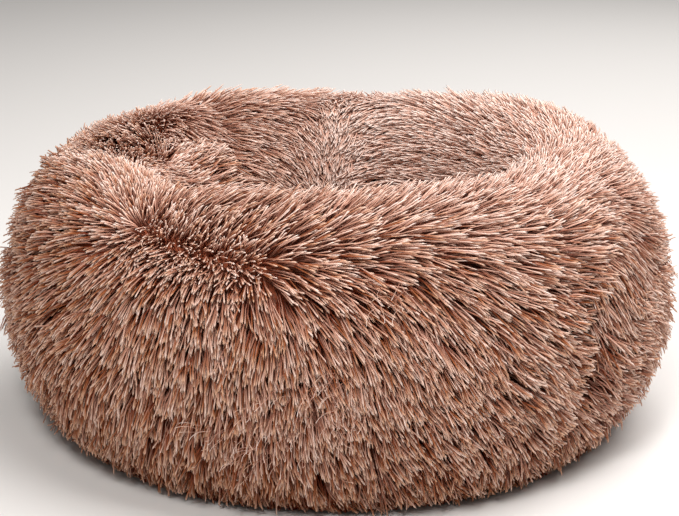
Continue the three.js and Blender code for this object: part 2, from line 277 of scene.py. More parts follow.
add_panel_light("top_light", place=(0.6, -0.25, 1.6), size=1.3, watts=33, colour=(1.0, 0.985, 0.975))
add_panel_light("front_light", place=(-0.3, -1.35, 1.7), size=0.5, watts=27, colour=(1.0, 0.99, 0.98))
add_panel_light("rear_light", place=(0.7, 1.5, 1.5), size=1.4, watts=19, colour=(1.0, 0.99, 0.98))

# The fur panels: two half rings of knitted polyester backing with long pile, sewn together at the side
# seams, at the nest seam and along the base. The ring's fibre insert fills them out.

OUTER_RADIUS = 0.250
CROWN_RADIUS = 0.168
CROWN_HEIGHT = 0.209
WAIST_HEIGHT = 0.089
NEST_RADIUS = 0.101
NEST_WAIST_HEIGHT = 0.100
NEST_SEAM_HEIGHT = 0.062
FOOT_RADIUS = 0.202
FOOT_HEIGHT = 0.002
CROWN_FULLNESS = 2.2
FOOT_FULLNESS = 1.55
NEST_FULLNESS = 2.0
BACKING_THICKNESS = 0.0025
FUR_THICKNESS = 0.020
TAPER_SHARE = 0.16
CROWN_SWAY = 0.004
SWAY_AZIMUTH = math.radians(-20)
GATHER_DEPTH = 0.0025
GATHER_COUNT = 20
GATHER_SHARE = 0.3
SEAM_DEPTH = 0.006
SEAM_WIDTH = 0.020
SIDE_SEAM_AZIMUTH = math.radians(-47)
SECTION_STEP = 0.01

FOOT_TURN = math.radians(-90)
NEST_TURN = math.radians(180)
SEAM_DROP = (NEST_WAIST_HEIGHT - NEST_SEAM_HEIGHT) / (NEST_WAIST_HEIGHT - FOOT_HEIGHT)
SEAM_TURN = NEST_TURN + math.asin(SEAM_DROP)

# Places where the stuffing is thin or full: azimuth and turn in degrees, how far round, how far out
LUMPS = [
    (-142, 84, 0.050, -0.006),
    (-34, 78, 0.022, -0.007),
    (-6, 58, 0.055, -0.004),
    (158, 80, 0.055, 0.007),
    (134, 84, 0.030, 0.006),
    (24, 70, 0.045, 0.006),
]


def ring_section(turn, inset=0.0, floor_height=FOOT_HEIGHT):
    """Radius and height on the ring's oval: foot at -90 degrees, waist at 0, crown at 90, nest at 180."""
    across = np.cos(turn)
    up = np.sin(turn)
    outside = across >= 0
    above = up >= 0
    fullness = np.where(outside, np.where(above, CROWN_FULLNESS, FOOT_FULLNESS), NEST_FULLNESS)
    middle = np.where(outside & ~above, FOOT_RADIUS - inset, CROWN_RADIUS)
    side = np.where(outside, OUTER_RADIUS - inset, NEST_RADIUS + inset)
    waist = np.where(outside, WAIST_HEIGHT, NEST_WAIST_HEIGHT)
    end = np.where(above, CROWN_HEIGHT - inset, floor_height)
    reach = (np.abs(across) ** fullness + np.abs(up) ** fullness) ** (-1 / fullness)
    return middle + (side - middle) * np.abs(across) * reach, waist + (end - waist) * np.abs(up) * reach


def smooth(share):
    """A share from 0 to 1 that sets off and arrives gently."""
    held = np.clip(share, 0, 1)
    return held * held * (3 - 2 * held)


def fur_share(turn):
    """How far round the section a place is, from the foot to the nest seam."""
    return (turn - FOOT_TURN) / (SEAM_TURN - FOOT_TURN)


def fur_swell(azimuth, turn):
    """How far the stuffed fur stands proud of the plain oval."""
    share = fur_share(turn)
    crown = np.maximum(np.sin(turn), 0) ** 2
    seam_arc = OUTER_RADIUS * np.arcsin(np.sin(azimuth - SIDE_SEAM_AZIMUTH))
    ends = smooth((1 - share) / TAPER_SHARE) * smooth(share / TAPER_SHARE)
    seam = np.exp(-((seam_arc / SEAM_WIDTH) ** 2)) * ends
    gather = smooth((share - 1 + GATHER_SHARE) / GATHER_SHARE) * (1 + np.cos(GATHER_COUNT * azimuth)) / 2
    return CROWN_SWAY * crown * np.cos(azimuth - SWAY_AZIMUTH) - SEAM_DEPTH * seam - GATHER_DEPTH * gather


def fur_height(turn):
    """How high the lying pile stands over its backing, less where it is sewn."""
    share = fur_share(turn)
    return (FUR_THICKNESS - BACKING_THICKNESS) * smooth(np.minimum(share, 1 - share) / TAPER_SHARE)


def ring_points(azimuth, turn, lift, lumps=True):
    """Points over the ring's oval by a lift, with the swell and the lumps of its stuffing."""
    radius, height = ring_section(turn)
    before = ring_section(np.maximum(turn - SECTION_STEP, FOOT_TURN))
    after = ring_section(np.minimum(turn + SECTION_STEP, SEAM_TURN))
    run = after[0] - before[0]
    rise = after[1] - before[1]
    size = np.hypot(run, rise)
    out = lift + fur_swell(azimuth, turn)
    if lumps:
        plain = ring_points(azimuth, turn, 0.0, False)
        for lump_azimuth, lump_turn, reach, depth in LUMPS:
            out = out + depth * nearness(plain, lump_azimuth, lump_turn, reach)
    radius = radius + rise / size * out
    height = height - run / size * out
    return np.stack([radius * np.cos(azimuth), radius * np.sin(azimuth), height], -1)


def nearness(points, azimuth, turn, reach, lift=0.0, lumps=False):
    """How near points are to a place on the ring, given in degrees, as a share that fades over a reach."""
    there = np.array([math.radians(azimuth)]), np.array([math.radians(turn)])
    middle = ring_points(*there, lift, lumps)[0]
    return np.exp(-np.sum((points - middle) ** 2, -1) / (2 * reach ** 2))


def new_piece(name, vertices, faces, finish=None, smooth_faces=True):
    """A mesh object at the origin, from lists or arrays."""
    mesh = bpy.data.meshes.new(name)
    mesh.from_pydata([tuple(v) for v in vertices], [], [tuple(f) for f in faces])
    mesh.update()
    if finish:
        mesh.materials.append(finish)
    if smooth_faces:
        mesh.shade_smooth()
    return add_object(name, mesh)


def strip_faces(rows, columns, closed=False, looped=False):
    """Faces of a grid of rows and columns, whose columns may close on themselves, and its rows as well."""
    faces = []
    for row in range(rows if looped else rows - 1):
        here = row * columns
        there = (row + 1) % rows * columns
        for column in range(columns if closed else columns - 1):
            beside = (column + 1) % columns
            faces.append((here + column, there + column, there + beside, here + beside))
    return faces


def patterned_finish(name):
    """An empty material, the maker of its nodes, and the place on the piece that its patterns follow."""
    finish, maker = finish_maker(name)
    return finish, maker, maker.add("ShaderNodeTexCoord").out("Object")


def noise(maker, place, scale, detail, **more):
    """A cloudy pattern."""
    sockets = {"Vector": place, "Scale": scale, "Detail": detail, **more}
    return maker.add("ShaderNodeTexNoise", None, sockets).out("Fac")


def ribs(maker, place, scale, direction, **more):
    """A pattern of straight bands."""
    sockets = {"Vector": place, "Scale": scale, **more}
    return maker.add("ShaderNodeTexWave", {"bands_direction": direction}, sockets).out("Fac")


def relief(maker, height, strength, depth):
    """A fine relief for a finish's Normal."""
    return maker.add("ShaderNodeBump", None, {"Strength": strength, "Distance": depth, "Height": height})


def two_tone(maker, share, dark, pale, sockets):
    """A finish between two screen colours, by a share."""
    finish_surface(maker, {"Base Color": maker.blend(share, linear(*dark), linear(*pale)), **sockets})


backing_finish, maker, place = patterned_finish("fur_backing")
cloth = noise(maker, place, 900.0, 3.0)
two_tone(maker, cloth, (138, 64, 36), (162, 86, 54), {
    "Roughness": 0.95,
    "Normal": relief(maker, cloth, 0.5, 0.0006),
})

PANEL_STEPS = 120
PANEL_POINTS = 56
SEAM_OPENING = 0.0006
SEAM_GAP = SEAM_OPENING / NEST_RADIUS / 2
for name, start in (("fur_panel_front", SIDE_SEAM_AZIMUTH - math.pi), ("fur_panel_rear", SIDE_SEAM_AZIMUTH)):
    azimuths = np.linspace(start + SEAM_GAP, start + math.pi - SEAM_GAP, PANEL_STEPS + 1)[:, None]
    turns = np.linspace(FOOT_TURN, SEAM_TURN, PANEL_POINTS)[None, :]
    top = ring_points(azimuths, turns, -fur_height(turns))
    under = ring_points(azimuths, turns[:, ::-1], -fur_height(turns[:, ::-1]) - BACKING_THICKNESS)
    loop = np.concatenate([top, under], 1)
    columns = 2 * PANEL_POINTS
    faces = strip_faces(PANEL_STEPS + 1, columns, closed=True)
    last = PANEL_STEPS * columns
    for j in range(PANEL_POINTS - 1):
        other = columns - 1 - j
        faces.append((j, j + 1, other - 1, other))
        faces.append((last + other, last + other - 1, last + j + 1, last + j))
    panel = new_piece(name + "_backing", loop.reshape(-1, 3), faces, backing_finish)
    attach(panel, "bed")
    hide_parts(name)

# The pile: tufts of long polyester faux fur, knitted into the backing and brushed one way here and another
# there in use. Each tuft bends over and thins to a pale tip, and near ones draw together.

# Brush strokes: azimuth, turn and heading in degrees, how flat they lay the pile, their reach in mm.
# Heading 0 runs down the side to the floor, 90 to the right seen from in front, 180 up over the crown.
BRUSHING = [
    # The foot and the waist in front, brushed down and fanned to both sides
    (-150, -55, 310, 0.9, 28), (-130, -55, 330, 0.9, 28), (-110, -55, 0, 0.9, 28),
    (-90, -55, 10, 0.9, 28), (-70, -55, 20, 0.9, 28), (-50, -55, 30, 0.9, 28),
    (-150, -20, 310, 0.9, 28), (-130, -20, 340, 0.8, 28), (-110, -20, 355, 0.8, 28),
    (-90, -20, 10, 0.5, 28), (-70, -20, 30, 0.7, 28), (-50, -20, 50, 0.8, 28), (-150, 0, 305, 0.9, 20),
    (-140, 0, 320, 0.8, 20), (-125, 0, 340, 0.7, 20), (-110, 0, 355, 0.6, 20), (-95, 0, 10, 0.5, 20),
    (-80, 0, 30, 0.6, 20), (-70, 0, 40, 0.6, 20), (-60, 0, 50, 0.7, 20),
    # The side in front, from left to right
    (-160, 20, 300, 0.9, 20), (-150, 20, 305, 0.8, 16), (-140, 20, 315, 0.7, 16),
    (-130, 20, 340, 0.6, 16), (-120, 20, 355, 0.6, 16), (-110, 20, 5, 0.6, 16), (-100, 20, 15, 0.6, 16),
    (-90, 20, 20, 0.7, 16), (-80, 20, 30, 0.7, 16), (-70, 20, 40, 0.7, 16), (-60, 20, 50, 0.8, 16),
    (-170, 40, 290, 0.9, 20), (-160, 40, 290, 0.9, 16), (-150, 40, 300, 0.8, 16),
    (-140, 40, 310, 0.7, 16), (-130, 40, 340, 0.6, 14), (-120, 40, 0, 0.6, 14), (-110, 35, 10, 0.6, 14),
    (-100, 40, 30, 0.7, 12), (-90, 40, 30, 0.8, 12), (-80, 40, 30, 0.9, 14), (-70, 40, 45, 0.9, 16),
    (-60, 40, 50, 0.9, 16),
    # The crown in front: the parting at the left, and the ridge that runs from it to the right
    (-175, 60, 290, 0.9, 20), (-160, 60, 300, 0.8, 20), (-148, 60, 300, 0.7, 20),
    (-138, 58, 300, 0.6, 14), (-128, 52, 45, 0.4, 10), (-122, 56, 0, 0.0, 12), (-116, 50, 0, 0.0, 12),
    (-108, 46, 0, 0.1, 9), (-118, 66, 130, 0.8, 12), (-106, 58, 130, 0.7, 12), (-100, 50, 90, 0.7, 10),
    (-90, 52, 80, 0.8, 14), (-80, 56, 60, 0.9, 14), (-70, 54, 60, 0.9, 16), (-60, 58, 80, 0.9, 20),
    (-48, 58, 80, 0.9, 16), (-170, 80, 290, 0.8, 20), (-158, 80, 290, 0.6, 20),
    (-147, 78, 260, 0.5, 20), (-135, 80, 200, 0.6, 20), (-120, 78, 150, 0.8, 20),
    (-108, 80, 150, 0.9, 20), (-94, 80, 145, 0.9, 24), (-78, 78, 130, 1, 28), (-58, 74, 120, 1, 28),
    (-40, 72, 95, 1, 28), (-25, 68, 90, 1, 24), (-100, 100, 150, 1, 28),
    # The side seam at the right front, where the pile of the one panel runs into that of the other
    (-50, 32, 70, 1, 9), (-50, 20, 80, 1, 9), (-50, 6, 75, 1, 9), (-43, 36, 0, 1, 9),
    (-44, 22, 15, 1, 9), (-44, 8, 30, 1, 9), (-31, 42, 350, 0.9, 20), (-20, 48, 80, 1, 24),
    (-22, 30, 65, 1, 24), (-34, 8, 65, 1, 24), (-27, -5, 50, 0.9, 28), (-40, -15, 90, 0.9, 24),
    (-34, -30, 60, 0.9, 28), (-40, -50, 10, 0.9, 28),
    # The right side, over the crown and into the nest
    (30, 135, 110, 1, 28), (50, 135, 100, 1, 28), (0, 112, 130, 1, 28), (15, 115, 90, 1, 28),
    (35, 110, 90, 1, 28), (58, 115, 100, 1, 24), (-5, 80, 75, 1, 28), (15, 80, 75, 1, 28),
    (40, 80, 60, 1, 28), (-10, 62, 65, 1, 24), (25, 55, 60, 1, 28), (50, 60, 30, 1, 28),
    (0, 30, 60, 0.9, 24), (25, 25, 30, 0.9, 28), (50, 30, 10, 0.9, 28), (0, 0, 45, 0.9, 28),
    (20, -5, 10, 0.9, 28),
    # The rear, which the photograph doesn't show from outside
    (65, 135, 120, 1, 24), (85, 125, 160, 1, 24), (105, 130, 200, 1, 28), (128, 132, 230, 1, 28),
    (75, 105, 140, 1, 24), (92, 96, 180, 1, 24), (110, 92, 220, 1, 28), (130, 105, 230, 1, 28),
    (75, 60, 340, 0.9, 28), (105, 60, 300, 1, 28), (130, 60, 290, 1, 28), (75, 30, 345, 0.9, 28),
    (105, 35, 335, 0.9, 28), (130, 35, 325, 0.9, 28),
    # The left side
    (155, 136, 300, 1, 20), (175, 134, 225, 0.7, 28), (145, 118, 220, 1, 18), (150, 104, 115, 1, 20),
    (168, 112, 65, 1, 12), (-173, 86, 70, 0.9, 20), (160, 92, 80, 1, 24), (175, 94, 95, 1, 20),
    (160, 60, 270, 0.9, 28), (-175, 40, 290, 0.9, 28), (158, 34, 310, 0.9, 28), (-175, 8, 310, 0.9, 28),
    (165, -5, 340, 0.9, 28),
]
UNBRUSHED_SHARE = 0.03
CREST_TURN = math.radians(85)
LYING_SHARE = 0.8
LEAST_FLAT = 0.26
STROKE_SPREAD = 28

PILE_COUNT = 12
PILE_STEPS = 30
PILE_POINTS = 72
PILE_START_TURN = math.radians(-84)
PILE_END_TURN = SEAM_TURN - math.radians(4)
TUFT_DENSITY = 205000


def brushed(azimuth, turn):
    """Which way the pile lies at a place, as a share down the side and a share to the right."""
    here = ring_points(azimuth, turn, 0.0, False)
    down = np.where(turn > CREST_TURN, -1.0, 1.0) * UNBRUSHED_SHARE
    side = np.zeros_like(down)
    weight = np.full_like(down, UNBRUSHED_SHARE)
    for stroke_azimuth, stroke_turn, heading, flat, reach in BRUSHING:
        near = nearness(here, stroke_azimuth, stroke_turn, reach * MM) * (STROKE_SPREAD / reach)
        down = down + near * flat * math.cos(math.radians(heading))
        side = side + near * flat * math.sin(math.radians(heading))
        weight = weight + near
    return down / weight, side / weight


pile_finish, maker = finish_maker("fur_pile")
sheet_place = maker.add("ShaderNodeUVMap", {"uv_map": "OFBake"})
tone = sheet_place.part("X")
along = sheet_place.part("Y")
# Dark roots and pale tips are the pile's own tipped colour, and partly painted light too: painted shade
# between the tufts at the roots and a painted highlight at the tips. The tone that blends the two runs
# carries painted light and shade, so the pale run also stands for the lit pile and the dark run for the
# shaded pile.
dark_run = maker.add("ShaderNodeValToRGB", {"stops": [
    (0.0, linear(108, 30, 2)),
    (0.5, linear(104, 34, 4)),
    (0.8, linear(156, 90, 52)),
    (1.0, linear(242, 198, 166)),
]}, {"Fac": along})
pale_run = maker.add("ShaderNodeValToRGB", {"stops": [
    (0.0, linear(202, 142, 118)),
    (0.46, linear(210, 157, 135)),
    (0.76, linear(222, 183, 165)),
    (1.0, linear(248, 234, 227)),
]}, {"Fac": along})
finish_surface(maker, {
    "Base Color": maker.blend(tone, dark_run, pale_run),
    "Roughness": 0.5,
    "Specular IOR Level": 0.14,
})


def keep(maker, geometry, name, value, kind="FLOAT_VECTOR", domain="POINT"):
    """Stores a value on the geometry under a name."""
    return maker.add(
        "GeometryNodeStoreNamedAttribute",
        {"data_type": kind, "domain": domain},
        {"Geometry": geometry, "Name": name, "Value": value},
    )


def kept(maker, name, kind="FLOAT_VECTOR"):
    """Reads back what was stored under a name."""
    return maker.add("GeometryNodeInputNamedAttribute", {"data_type": kind}, {"Name": name}).out("Attribute")


def chance(maker, seed, low=-1.0, high=1.0):
    """A random number for each point, from a fixed seed."""
    sockets = {"Min": low, "Max": high, "Seed": seed}
    return maker.add("FunctionNodeRandomValue", {"data_type": "FLOAT"}, sockets)


def new_tree(name, *numbers, whole_numbers=()):
    """A geometry tree with numbers and a material as named inputs, its maker, and its inputs' wires."""
    tree = bpy.data.node_groups.new(name, "GeometryNodeTree")
    tree.interface.new_socket("Geometry", in_out="INPUT", socket_type="NodeSocketGeometry")
    for labels, kind in ((numbers, "Float"), (whole_numbers, "Int"), (("Material",), "Material")):
        for label in labels:
            tree.interface.new_socket(label, in_out="INPUT", socket_type="NodeSocket" + kind)
    tree.interface.new_socket("Geometry", in_out="OUTPUT", socket_type="NodeSocketGeometry")
    maker = Maker(tree)
    return tree, maker, maker.add("NodeGroupInput")


def placed_copies(maker, points, small, **more):
    """A copy of a small piece at each point, realized."""
    copies = maker.add("GeometryNodeInstanceOnPoints", None, {"Points": points, "Instance": small, **more})
    return maker.add("GeometryNodeRealizeInstances", None, {"Geometry": copies})


def end_tree(maker, given, whole, shade_smooth=True):
    """Ends a tree with its realized pieces in the material that it is given."""
    if shade_smooth:
        whole = maker.add("GeometryNodeSetShadeSmooth", None, {"Geometry": whole})
    finish = {"Geometry": whole, "Material": given.out("Material")}
    maker.add("NodeGroupOutput", None, {"Geometry": maker.add("GeometryNodeSetMaterial", None, finish)})


def grown(name, source, tree, values):
    """A plain mesh piece from what a tree makes of a source mesh, which is used up."""
    modifier = source.modifiers.new(name, "NODES")
    modifier.node_group = tree
    sockets = {s.name: s.identifier for s in tree.interface.items_tree if s.in_out == "INPUT"}
    for label, value in values.items():
        modifier[sockets[label]] = value
    seen = source.evaluated_get(bpy.context.evaluated_depsgraph_get())
    mesh = bpy.data.meshes.new_from_object(seen)
    mesh.name = name
    while mesh.materials and mesh.materials[0] is None:
        mesh.materials.pop(index=0)
    bpy.data.objects.remove(source)
    return add_object(name, mesh)


ROOT_LEAN = 0.20
FLAT_ROOT_LEAN = 0.56
LEAN_SPAN = 0.28
FLAT_LEAN_SPAN = 0.46
LEAST_LEAN_SPAN = 0.08
LEAN_CHANCE = 0.10
UPRIGHT_LEAN_CHANCE = 0.2
LOCK_LEAN = 0.16
LENGTH_CHANCE = 0.09
LOCK_LENGTH = 0.30
WIDE_DRIFT_SCALE = 16.0
FINE_DRIFT_SCALE = 55.0
FINE_DRIFT_SHARE = 0.7
LOCK_TURN = 0.5
TURN_CHANCE = 0.14
UPRIGHT_TURN_CHANCE = 1.2
PULL_CHANCE = 0.35
PULL_FALL = 1.2
RING_CROWDING = 3
TIP_CROWDING = 1.5
ROOT_GIRTH = 0.72
GIRTH_GAIN = 0.5
GIRTH_CHANCE = 0.3
POINT_SHARE = 0.01
TUFT_DEPTH = 0.65
MIDDLE_TONE = 0.35
TONE_CHANCE = 0.44
LOCK_TONE = 0.3
# Painted light where tufts stand up, which lifts the shade seen between them.
UPRIGHT_PAINTED_LIGHT = 0.3
SHEET_EDGE = 0.02
SHEET_SPAN = 0.95
SHEET_SPOT = 0.008

tuft_tree, maker, given = new_tree(
    "tufts",
    "Density", "Tuft Width", "Clump Size", "Clump Pull", "Wander", "Least Height", "Wave", "Wave Turns",
    whole_numbers=("Seed", "Rings"),
)
seed = given.out("Seed")
points = maker.add("GeometryNodeDistributePointsOnFaces", {"distribute_method": "RANDOM"}, {
    "Mesh": given.out("Geometry"),
    "Density": given.out("Density") * kept(maker, "thickness", "FLOAT"),
    "Seed": seed,
})
points = keep(maker, points, "root", maker.add("GeometryNodeInputPosition"))
for number, label in enumerate(("tone", "length", "bend", "turn", "wave", "spread"), 1):
    points = keep(maker, points, label + "_chance", chance(maker, seed + number), "FLOAT")

cone = maker.add("GeometryNodeMeshCone", {"fill_type": "NGON"}, {
    "Vertices": 3,
    "Side Segments": given.out("Rings"),
    "Radius Top": 0.0,
    "Radius Bottom": 1.0,
    "Depth": 1.0,
})
cone = keep(maker, cone, "cone", maker.add("GeometryNodeInputPosition"))
tufts = placed_copies(maker, points, cone)

root = kept(maker, "root")
rise = kept(maker, "rise").unit()
on_cone = kept(maker, "cone")
left = 1 - on_cone.part("Z")
along = 1 - left ** (RING_CROWDING - TIP_CROWDING * left)
flat = kept(maker, "flat", "FLOAT")
upright = 1 - flat

# Clumps, and how the brushing wanders from place to place
clump_size = given.out("Clump Size")
cell = maker.add("ShaderNodeTexVoronoi", None, {"Vector": root * (1 / clump_size), "Scale": 1.0})
cell_chance = cell.out("Color").part("X")
cell_length = cell.out("Color").part("Y") - 0.5
cell_bend = cell.out("Color").part("Z") - 0.5
# Tufts draw into locks less where the stored tone and painted light is higher, as on top, and more where
# painted shade darkens the pile low down.
locks = 1 - kept(maker, "shade", "FLOAT")
length = 1 + LENGTH_CHANCE * kept(maker, "length_chance", "FLOAT") + LOCK_LENGTH * locks * cell_length
length = length * kept(maker, "pile", "FLOAT")
to_middle = cell.out("Position") * clump_size - root
to_middle = to_middle - rise * to_middle.dot(rise)
wide_drift = noise(maker, root, WIDE_DRIFT_SCALE, 1.0)
fine_drift = noise(maker, root, FINE_DRIFT_SCALE, 1.0)
turned = (
    given.out("Wander") * (2 * wide_drift - 1)
    + FINE_DRIFT_SHARE * given.out("Wander") * (2 * fine_drift - 1)
    + LOCK_TURN * (cell_chance - 0.5)
    + (TURN_CHANCE + UPRIGHT_TURN_CHANCE * upright ** 2) * kept(maker, "turn_chance", "FLOAT")
)
comb = kept(maker, "comb")
comb = (comb - rise * comb.dot(rise)).unit()
comb = comb * turned.apply("COSINE") + rise.cross(comb) * turned.apply("SINE")
side = rise.cross(comb)

# The bend of a tuft, from its lean at the root to its lean at the tip, which follows the curve of the ring
root_lean = (
    ROOT_LEAN
    + FLAT_ROOT_LEAN * flat
    + (LEAN_CHANCE + UPRIGHT_LEAN_CHANCE * upright) * kept(maker, "bend_chance", "FLOAT")
    + LOCK_LEAN * locks * cell_bend
)
lean_span = LEAN_SPAN + FLAT_LEAN_SPAN * flat + kept(maker, "curl", "FLOAT") * length
lean_span = lean_span.apply("MAXIMUM", LEAST_LEAN_SPAN)
lean = root_lean + lean_span * along
up_reach = (lean.apply("SINE") - root_lean.apply("SINE")) / lean_span
out_reach = (root_lean.apply("COSINE") - lean.apply("COSINE")) / lean_span
wave = given.out("Wave") * kept(maker, "wave_chance", "FLOAT")
wave_turn = given.out("Wave Turns") * along
pull_chance = 1 + PULL_CHANCE * kept(maker, "wave_chance", "FLOAT")
spine = (
    root
    + (rise * up_reach + comb * out_reach) * length
    + to_middle * (given.out("Clump Pull") * locks * pull_chance * along ** PULL_FALL)
    + side * (wave * wave_turn.apply("SINE"))
    + comb * (wave * wave_turn.apply("COSINE") - wave)
)

# Tufts that would reach into the floor lie on it
lying_height = given.out("Least Height") + 2 * given.out("Tuft Width")
spine = maker.add("ShaderNodeCombineXYZ", None, {
    "X": spine.part("X"),
    "Y": spine.part("Y"),
    "Z": spine.part("Z").apply("MAXIMUM", lying_height),
})

# The round of a tuft about its spine, which thins to the tip
across = comb * lean.apply("COSINE") - rise * lean.apply("SINE")
girth = (
    given.out("Tuft Width")
    * (1 + GIRTH_CHANCE * kept(maker, "spread_chance", "FLOAT"))
    * (ROOT_GIRTH + GIRTH_GAIN * along)
    / left.apply("MAXIMUM", POINT_SHARE)
)
skin = spine + side * (on_cone.part("X") * girth) + across * (TUFT_DEPTH * on_cone.part("Y") * girth)
tufts = maker.add("GeometryNodeSetPosition", None, {"Geometry": tufts, "Position": skin})

# The tuft's place on the colour sheet: paler tufts to the right, tips at the top. Its tone holds painted
# light and shade: darker low down, paler on top, towards the lit side and where tufts stand up.
tone = (
    MIDDLE_TONE
    + TONE_CHANCE * kept(maker, "tone_chance", "FLOAT")
    + LOCK_TONE * (cell_chance - 0.5)
    + kept(maker, "shade", "FLOAT")
    # Painted light where tufts stand up, lifting the shade between them
    + UPRIGHT_PAINTED_LIGHT * upright
)
tone = tone.apply("MAXIMUM", 0.0).apply("MINIMUM", 1.0)
sheet_place = maker.add("ShaderNodeCombineXYZ", None, {
    "X": SHEET_EDGE + SHEET_SPAN * tone + SHEET_SPOT * on_cone.part("X"),
    "Y": SHEET_EDGE + SHEET_SPAN * along + SHEET_SPOT * on_cone.part("Y"),
})
end_tree(maker, given, keep(maker, tufts, "OFBake", sheet_place, "FLOAT2", "CORNER"))

TUFT_SIZES = {
    "Density": TUFT_DENSITY,
    "Tuft Width": 0.00052,
    "Clump Size": 0.0056,
    "Clump Pull": 0.62,
    "Wander": 0.35,
    "Least Height": 0.0006,
    "Rings": 3,
    "Wave": 0.0018,
    "Wave Turns": 5.0,
    "Material": pile_finish,
}
SPARE_ATTRIBUTES = (
    "root", "rise", "cone", "comb", "flat", "pile", "curl", "thickness", "shade",
    "tone_chance", "length_chance", "bend_chance", "turn_chance", "wave_chance", "spread_chance",
)
NUDGE = 0.002
SEAM_TIP = 0.008
SEAM_TIP_SLOPE = 1.15
FREE_LENGTH = 1.0
BARE_OFFSET = 0.004
BARE_WIDTH = 0.006
BARE_LOW = math.radians(-22)
BARE_HIGH = math.radians(42)
BARE_FADE = math.radians(12)
BARE_LENGTH = 0.5
BARE_DENSITY = 0.5
CURL_REACH = 0.018
CURL_SHARE = 0.9
LEAST_SHARE = 1e-6
LEAST_PACE = 0.02
MOST_DIP = 0.9
MOST_LENGTH = 0.038
PILE_FULLNESS = 0.90
# Painted shade: the pile's tone darker from the waist down to the floor.
LOW_PAINTED_SHADE = -0.35
LOW_PAINTED_SHADE_REACH = 0.42
# Painted light: the pile's tone paler on the side towards the lights at the right, and more so over the
# crown and into the nest.
SIDE_PAINTED_LIGHT = 0.17
PAINTED_LIGHT_AZIMUTH = math.radians(15)
TOP_PAINTED_LIGHT = 0.42
TOP_SIDE_PAINTED_LIGHT = 0.2
TOP_PAINTED_LIGHT_START = 0.44
TOP_PAINTED_LIGHT_REACH = 0.16
PARTING_DENSITY = 1.2
PARTING_DROP = 0.22
LEAST_PILE = 0.006


def root_cloth(name, roots, **stored):
    """The patch of backing that tufts grow on, with how they lie stored at its corners."""
    rows, columns = roots.shape[:2]
    cloth = new_piece(name, roots.reshape(-1, 3), strip_faces(rows, columns))
    for label, values in stored.items():
        arrow = label in ("rise", "comb")
        layer = cloth.data.attributes.new(label, "FLOAT_VECTOR" if arrow else "FLOAT", "POINT")
        values = np.broadcast_to(values, roots.shape if arrow else roots.shape[:2])
        layer.data.foreach_set("vector" if arrow else "value", np.ravel(values).astype(np.float32))
    return cloth


def grow_tufts(name, cloth, seed, sizes=TUFT_SIZES):
    """A piece of pile, grown by the tree on its cloth."""
    pile = grown(name, cloth, tuft_tree, {**sizes, "Seed": seed})
    for label in SPARE_ATTRIBUTES:
        if label in pile.data.attributes:
            pile.data.attributes.remove(pile.data.attributes[label])
    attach(pile, "bed")
    return pile


def pile_length(height, flat):
    """How long a tuft is that stands to a height when it lies as flat as this."""
    root_lean = ROOT_LEAN + FLAT_ROOT_LEAN * flat
    span = LEAN_SPAN + FLAT_LEAN_SPAN * flat
    return height * span / (np.sin(root_lean + span) - np.sin(root_lean))


def unit_rows(vectors):
    """Vectors of length 1 that point the same way."""
    return vectors / np.linalg.norm(vectors, axis=-1, keepdims=True)


def ways_along(azimuth, turn, lift=0.0, lumps=False):
    """The directions down the side and to the right, along the ring at a place."""
    down = ring_points(azimuth, turn - NUDGE, lift, lumps) - ring_points(azimuth, turn + NUDGE, lift, lumps)
    side = ring_points(azimuth + NUDGE, turn, lift, lumps) - ring_points(azimuth - NUDGE, turn, lift, lumps)
    return unit_rows(down), unit_rows(side)


def way_out(azimuth, turn):
    """The direction straight out of the ring at a place."""
    return unit_rows(np.cross(*ways_along(azimuth, turn)))


def curl_along(azimuth, turn, comb, share_down, share_side):
    """How fast the ring curves away, in radians a metre, on the way that the pile lies."""
    size = np.maximum(np.hypot(share_down, share_side), LEAST_SHARE)
    here = ring_points(azimuth, turn, 0.0, False)
    turn_pace = np.linalg.norm(ring_points(azimuth, turn - NUDGE, 0.0, False) - here, axis=-1) / NUDGE
    side_pace = np.linalg.norm(ring_points(azimuth + NUDGE, turn, 0.0, False) - here, axis=-1) / NUDGE
    turn_there = turn - CURL_REACH * share_down / size / np.maximum(turn_pace, LEAST_PACE)
    azimuth_there = azimuth + CURL_REACH * share_side / size / np.maximum(side_pace, LEAST_PACE)
    turn_there = np.clip(turn_there, FOOT_TURN + NUDGE, SEAM_TURN - NUDGE)
    dip = np.sum(way_out(azimuth_there, turn_there) * comb, -1)
    return CURL_SHARE * np.arcsin(np.clip(dip, -MOST_DIP, MOST_DIP)) / CURL_REACH


def past_seam(azimuth):
    """How far round a place is from the front panel's side seam at the right, along the outside."""
    return OUTER_RADIUS * ((azimuth - SIDE_SEAM_AZIMUTH + math.pi) % (2 * math.pi) - math.pi)


def seam_height_share(turn):
    """How much the side seam shows at a height: most in the middle, not at the crown and the foot."""
    return smooth((turn - BARE_LOW) / BARE_FADE) * smooth((BARE_HIGH - turn) / BARE_FADE)


def seam_bareness(azimuth, turn):
    """The strip past the side seam where the pile is caught in the stitches, so that the roots show."""
    strip = np.exp(-(((past_seam(azimuth) - BARE_OFFSET) / BARE_WIDTH) ** 2))
    return strip * seam_height_share(turn)


def seam_limit(azimuth, turn):
    """The length of pile before the seam, which was cut so that its tips end on the seam."""
    left_of_it = np.maximum(-past_seam(azimuth), 0)
    far = np.where(past_seam(azimuth) > 0, FREE_LENGTH, SEAM_TIP + SEAM_TIP_SLOPE * left_of_it)
    return far + FREE_LENGTH * (1 - seam_height_share(turn))


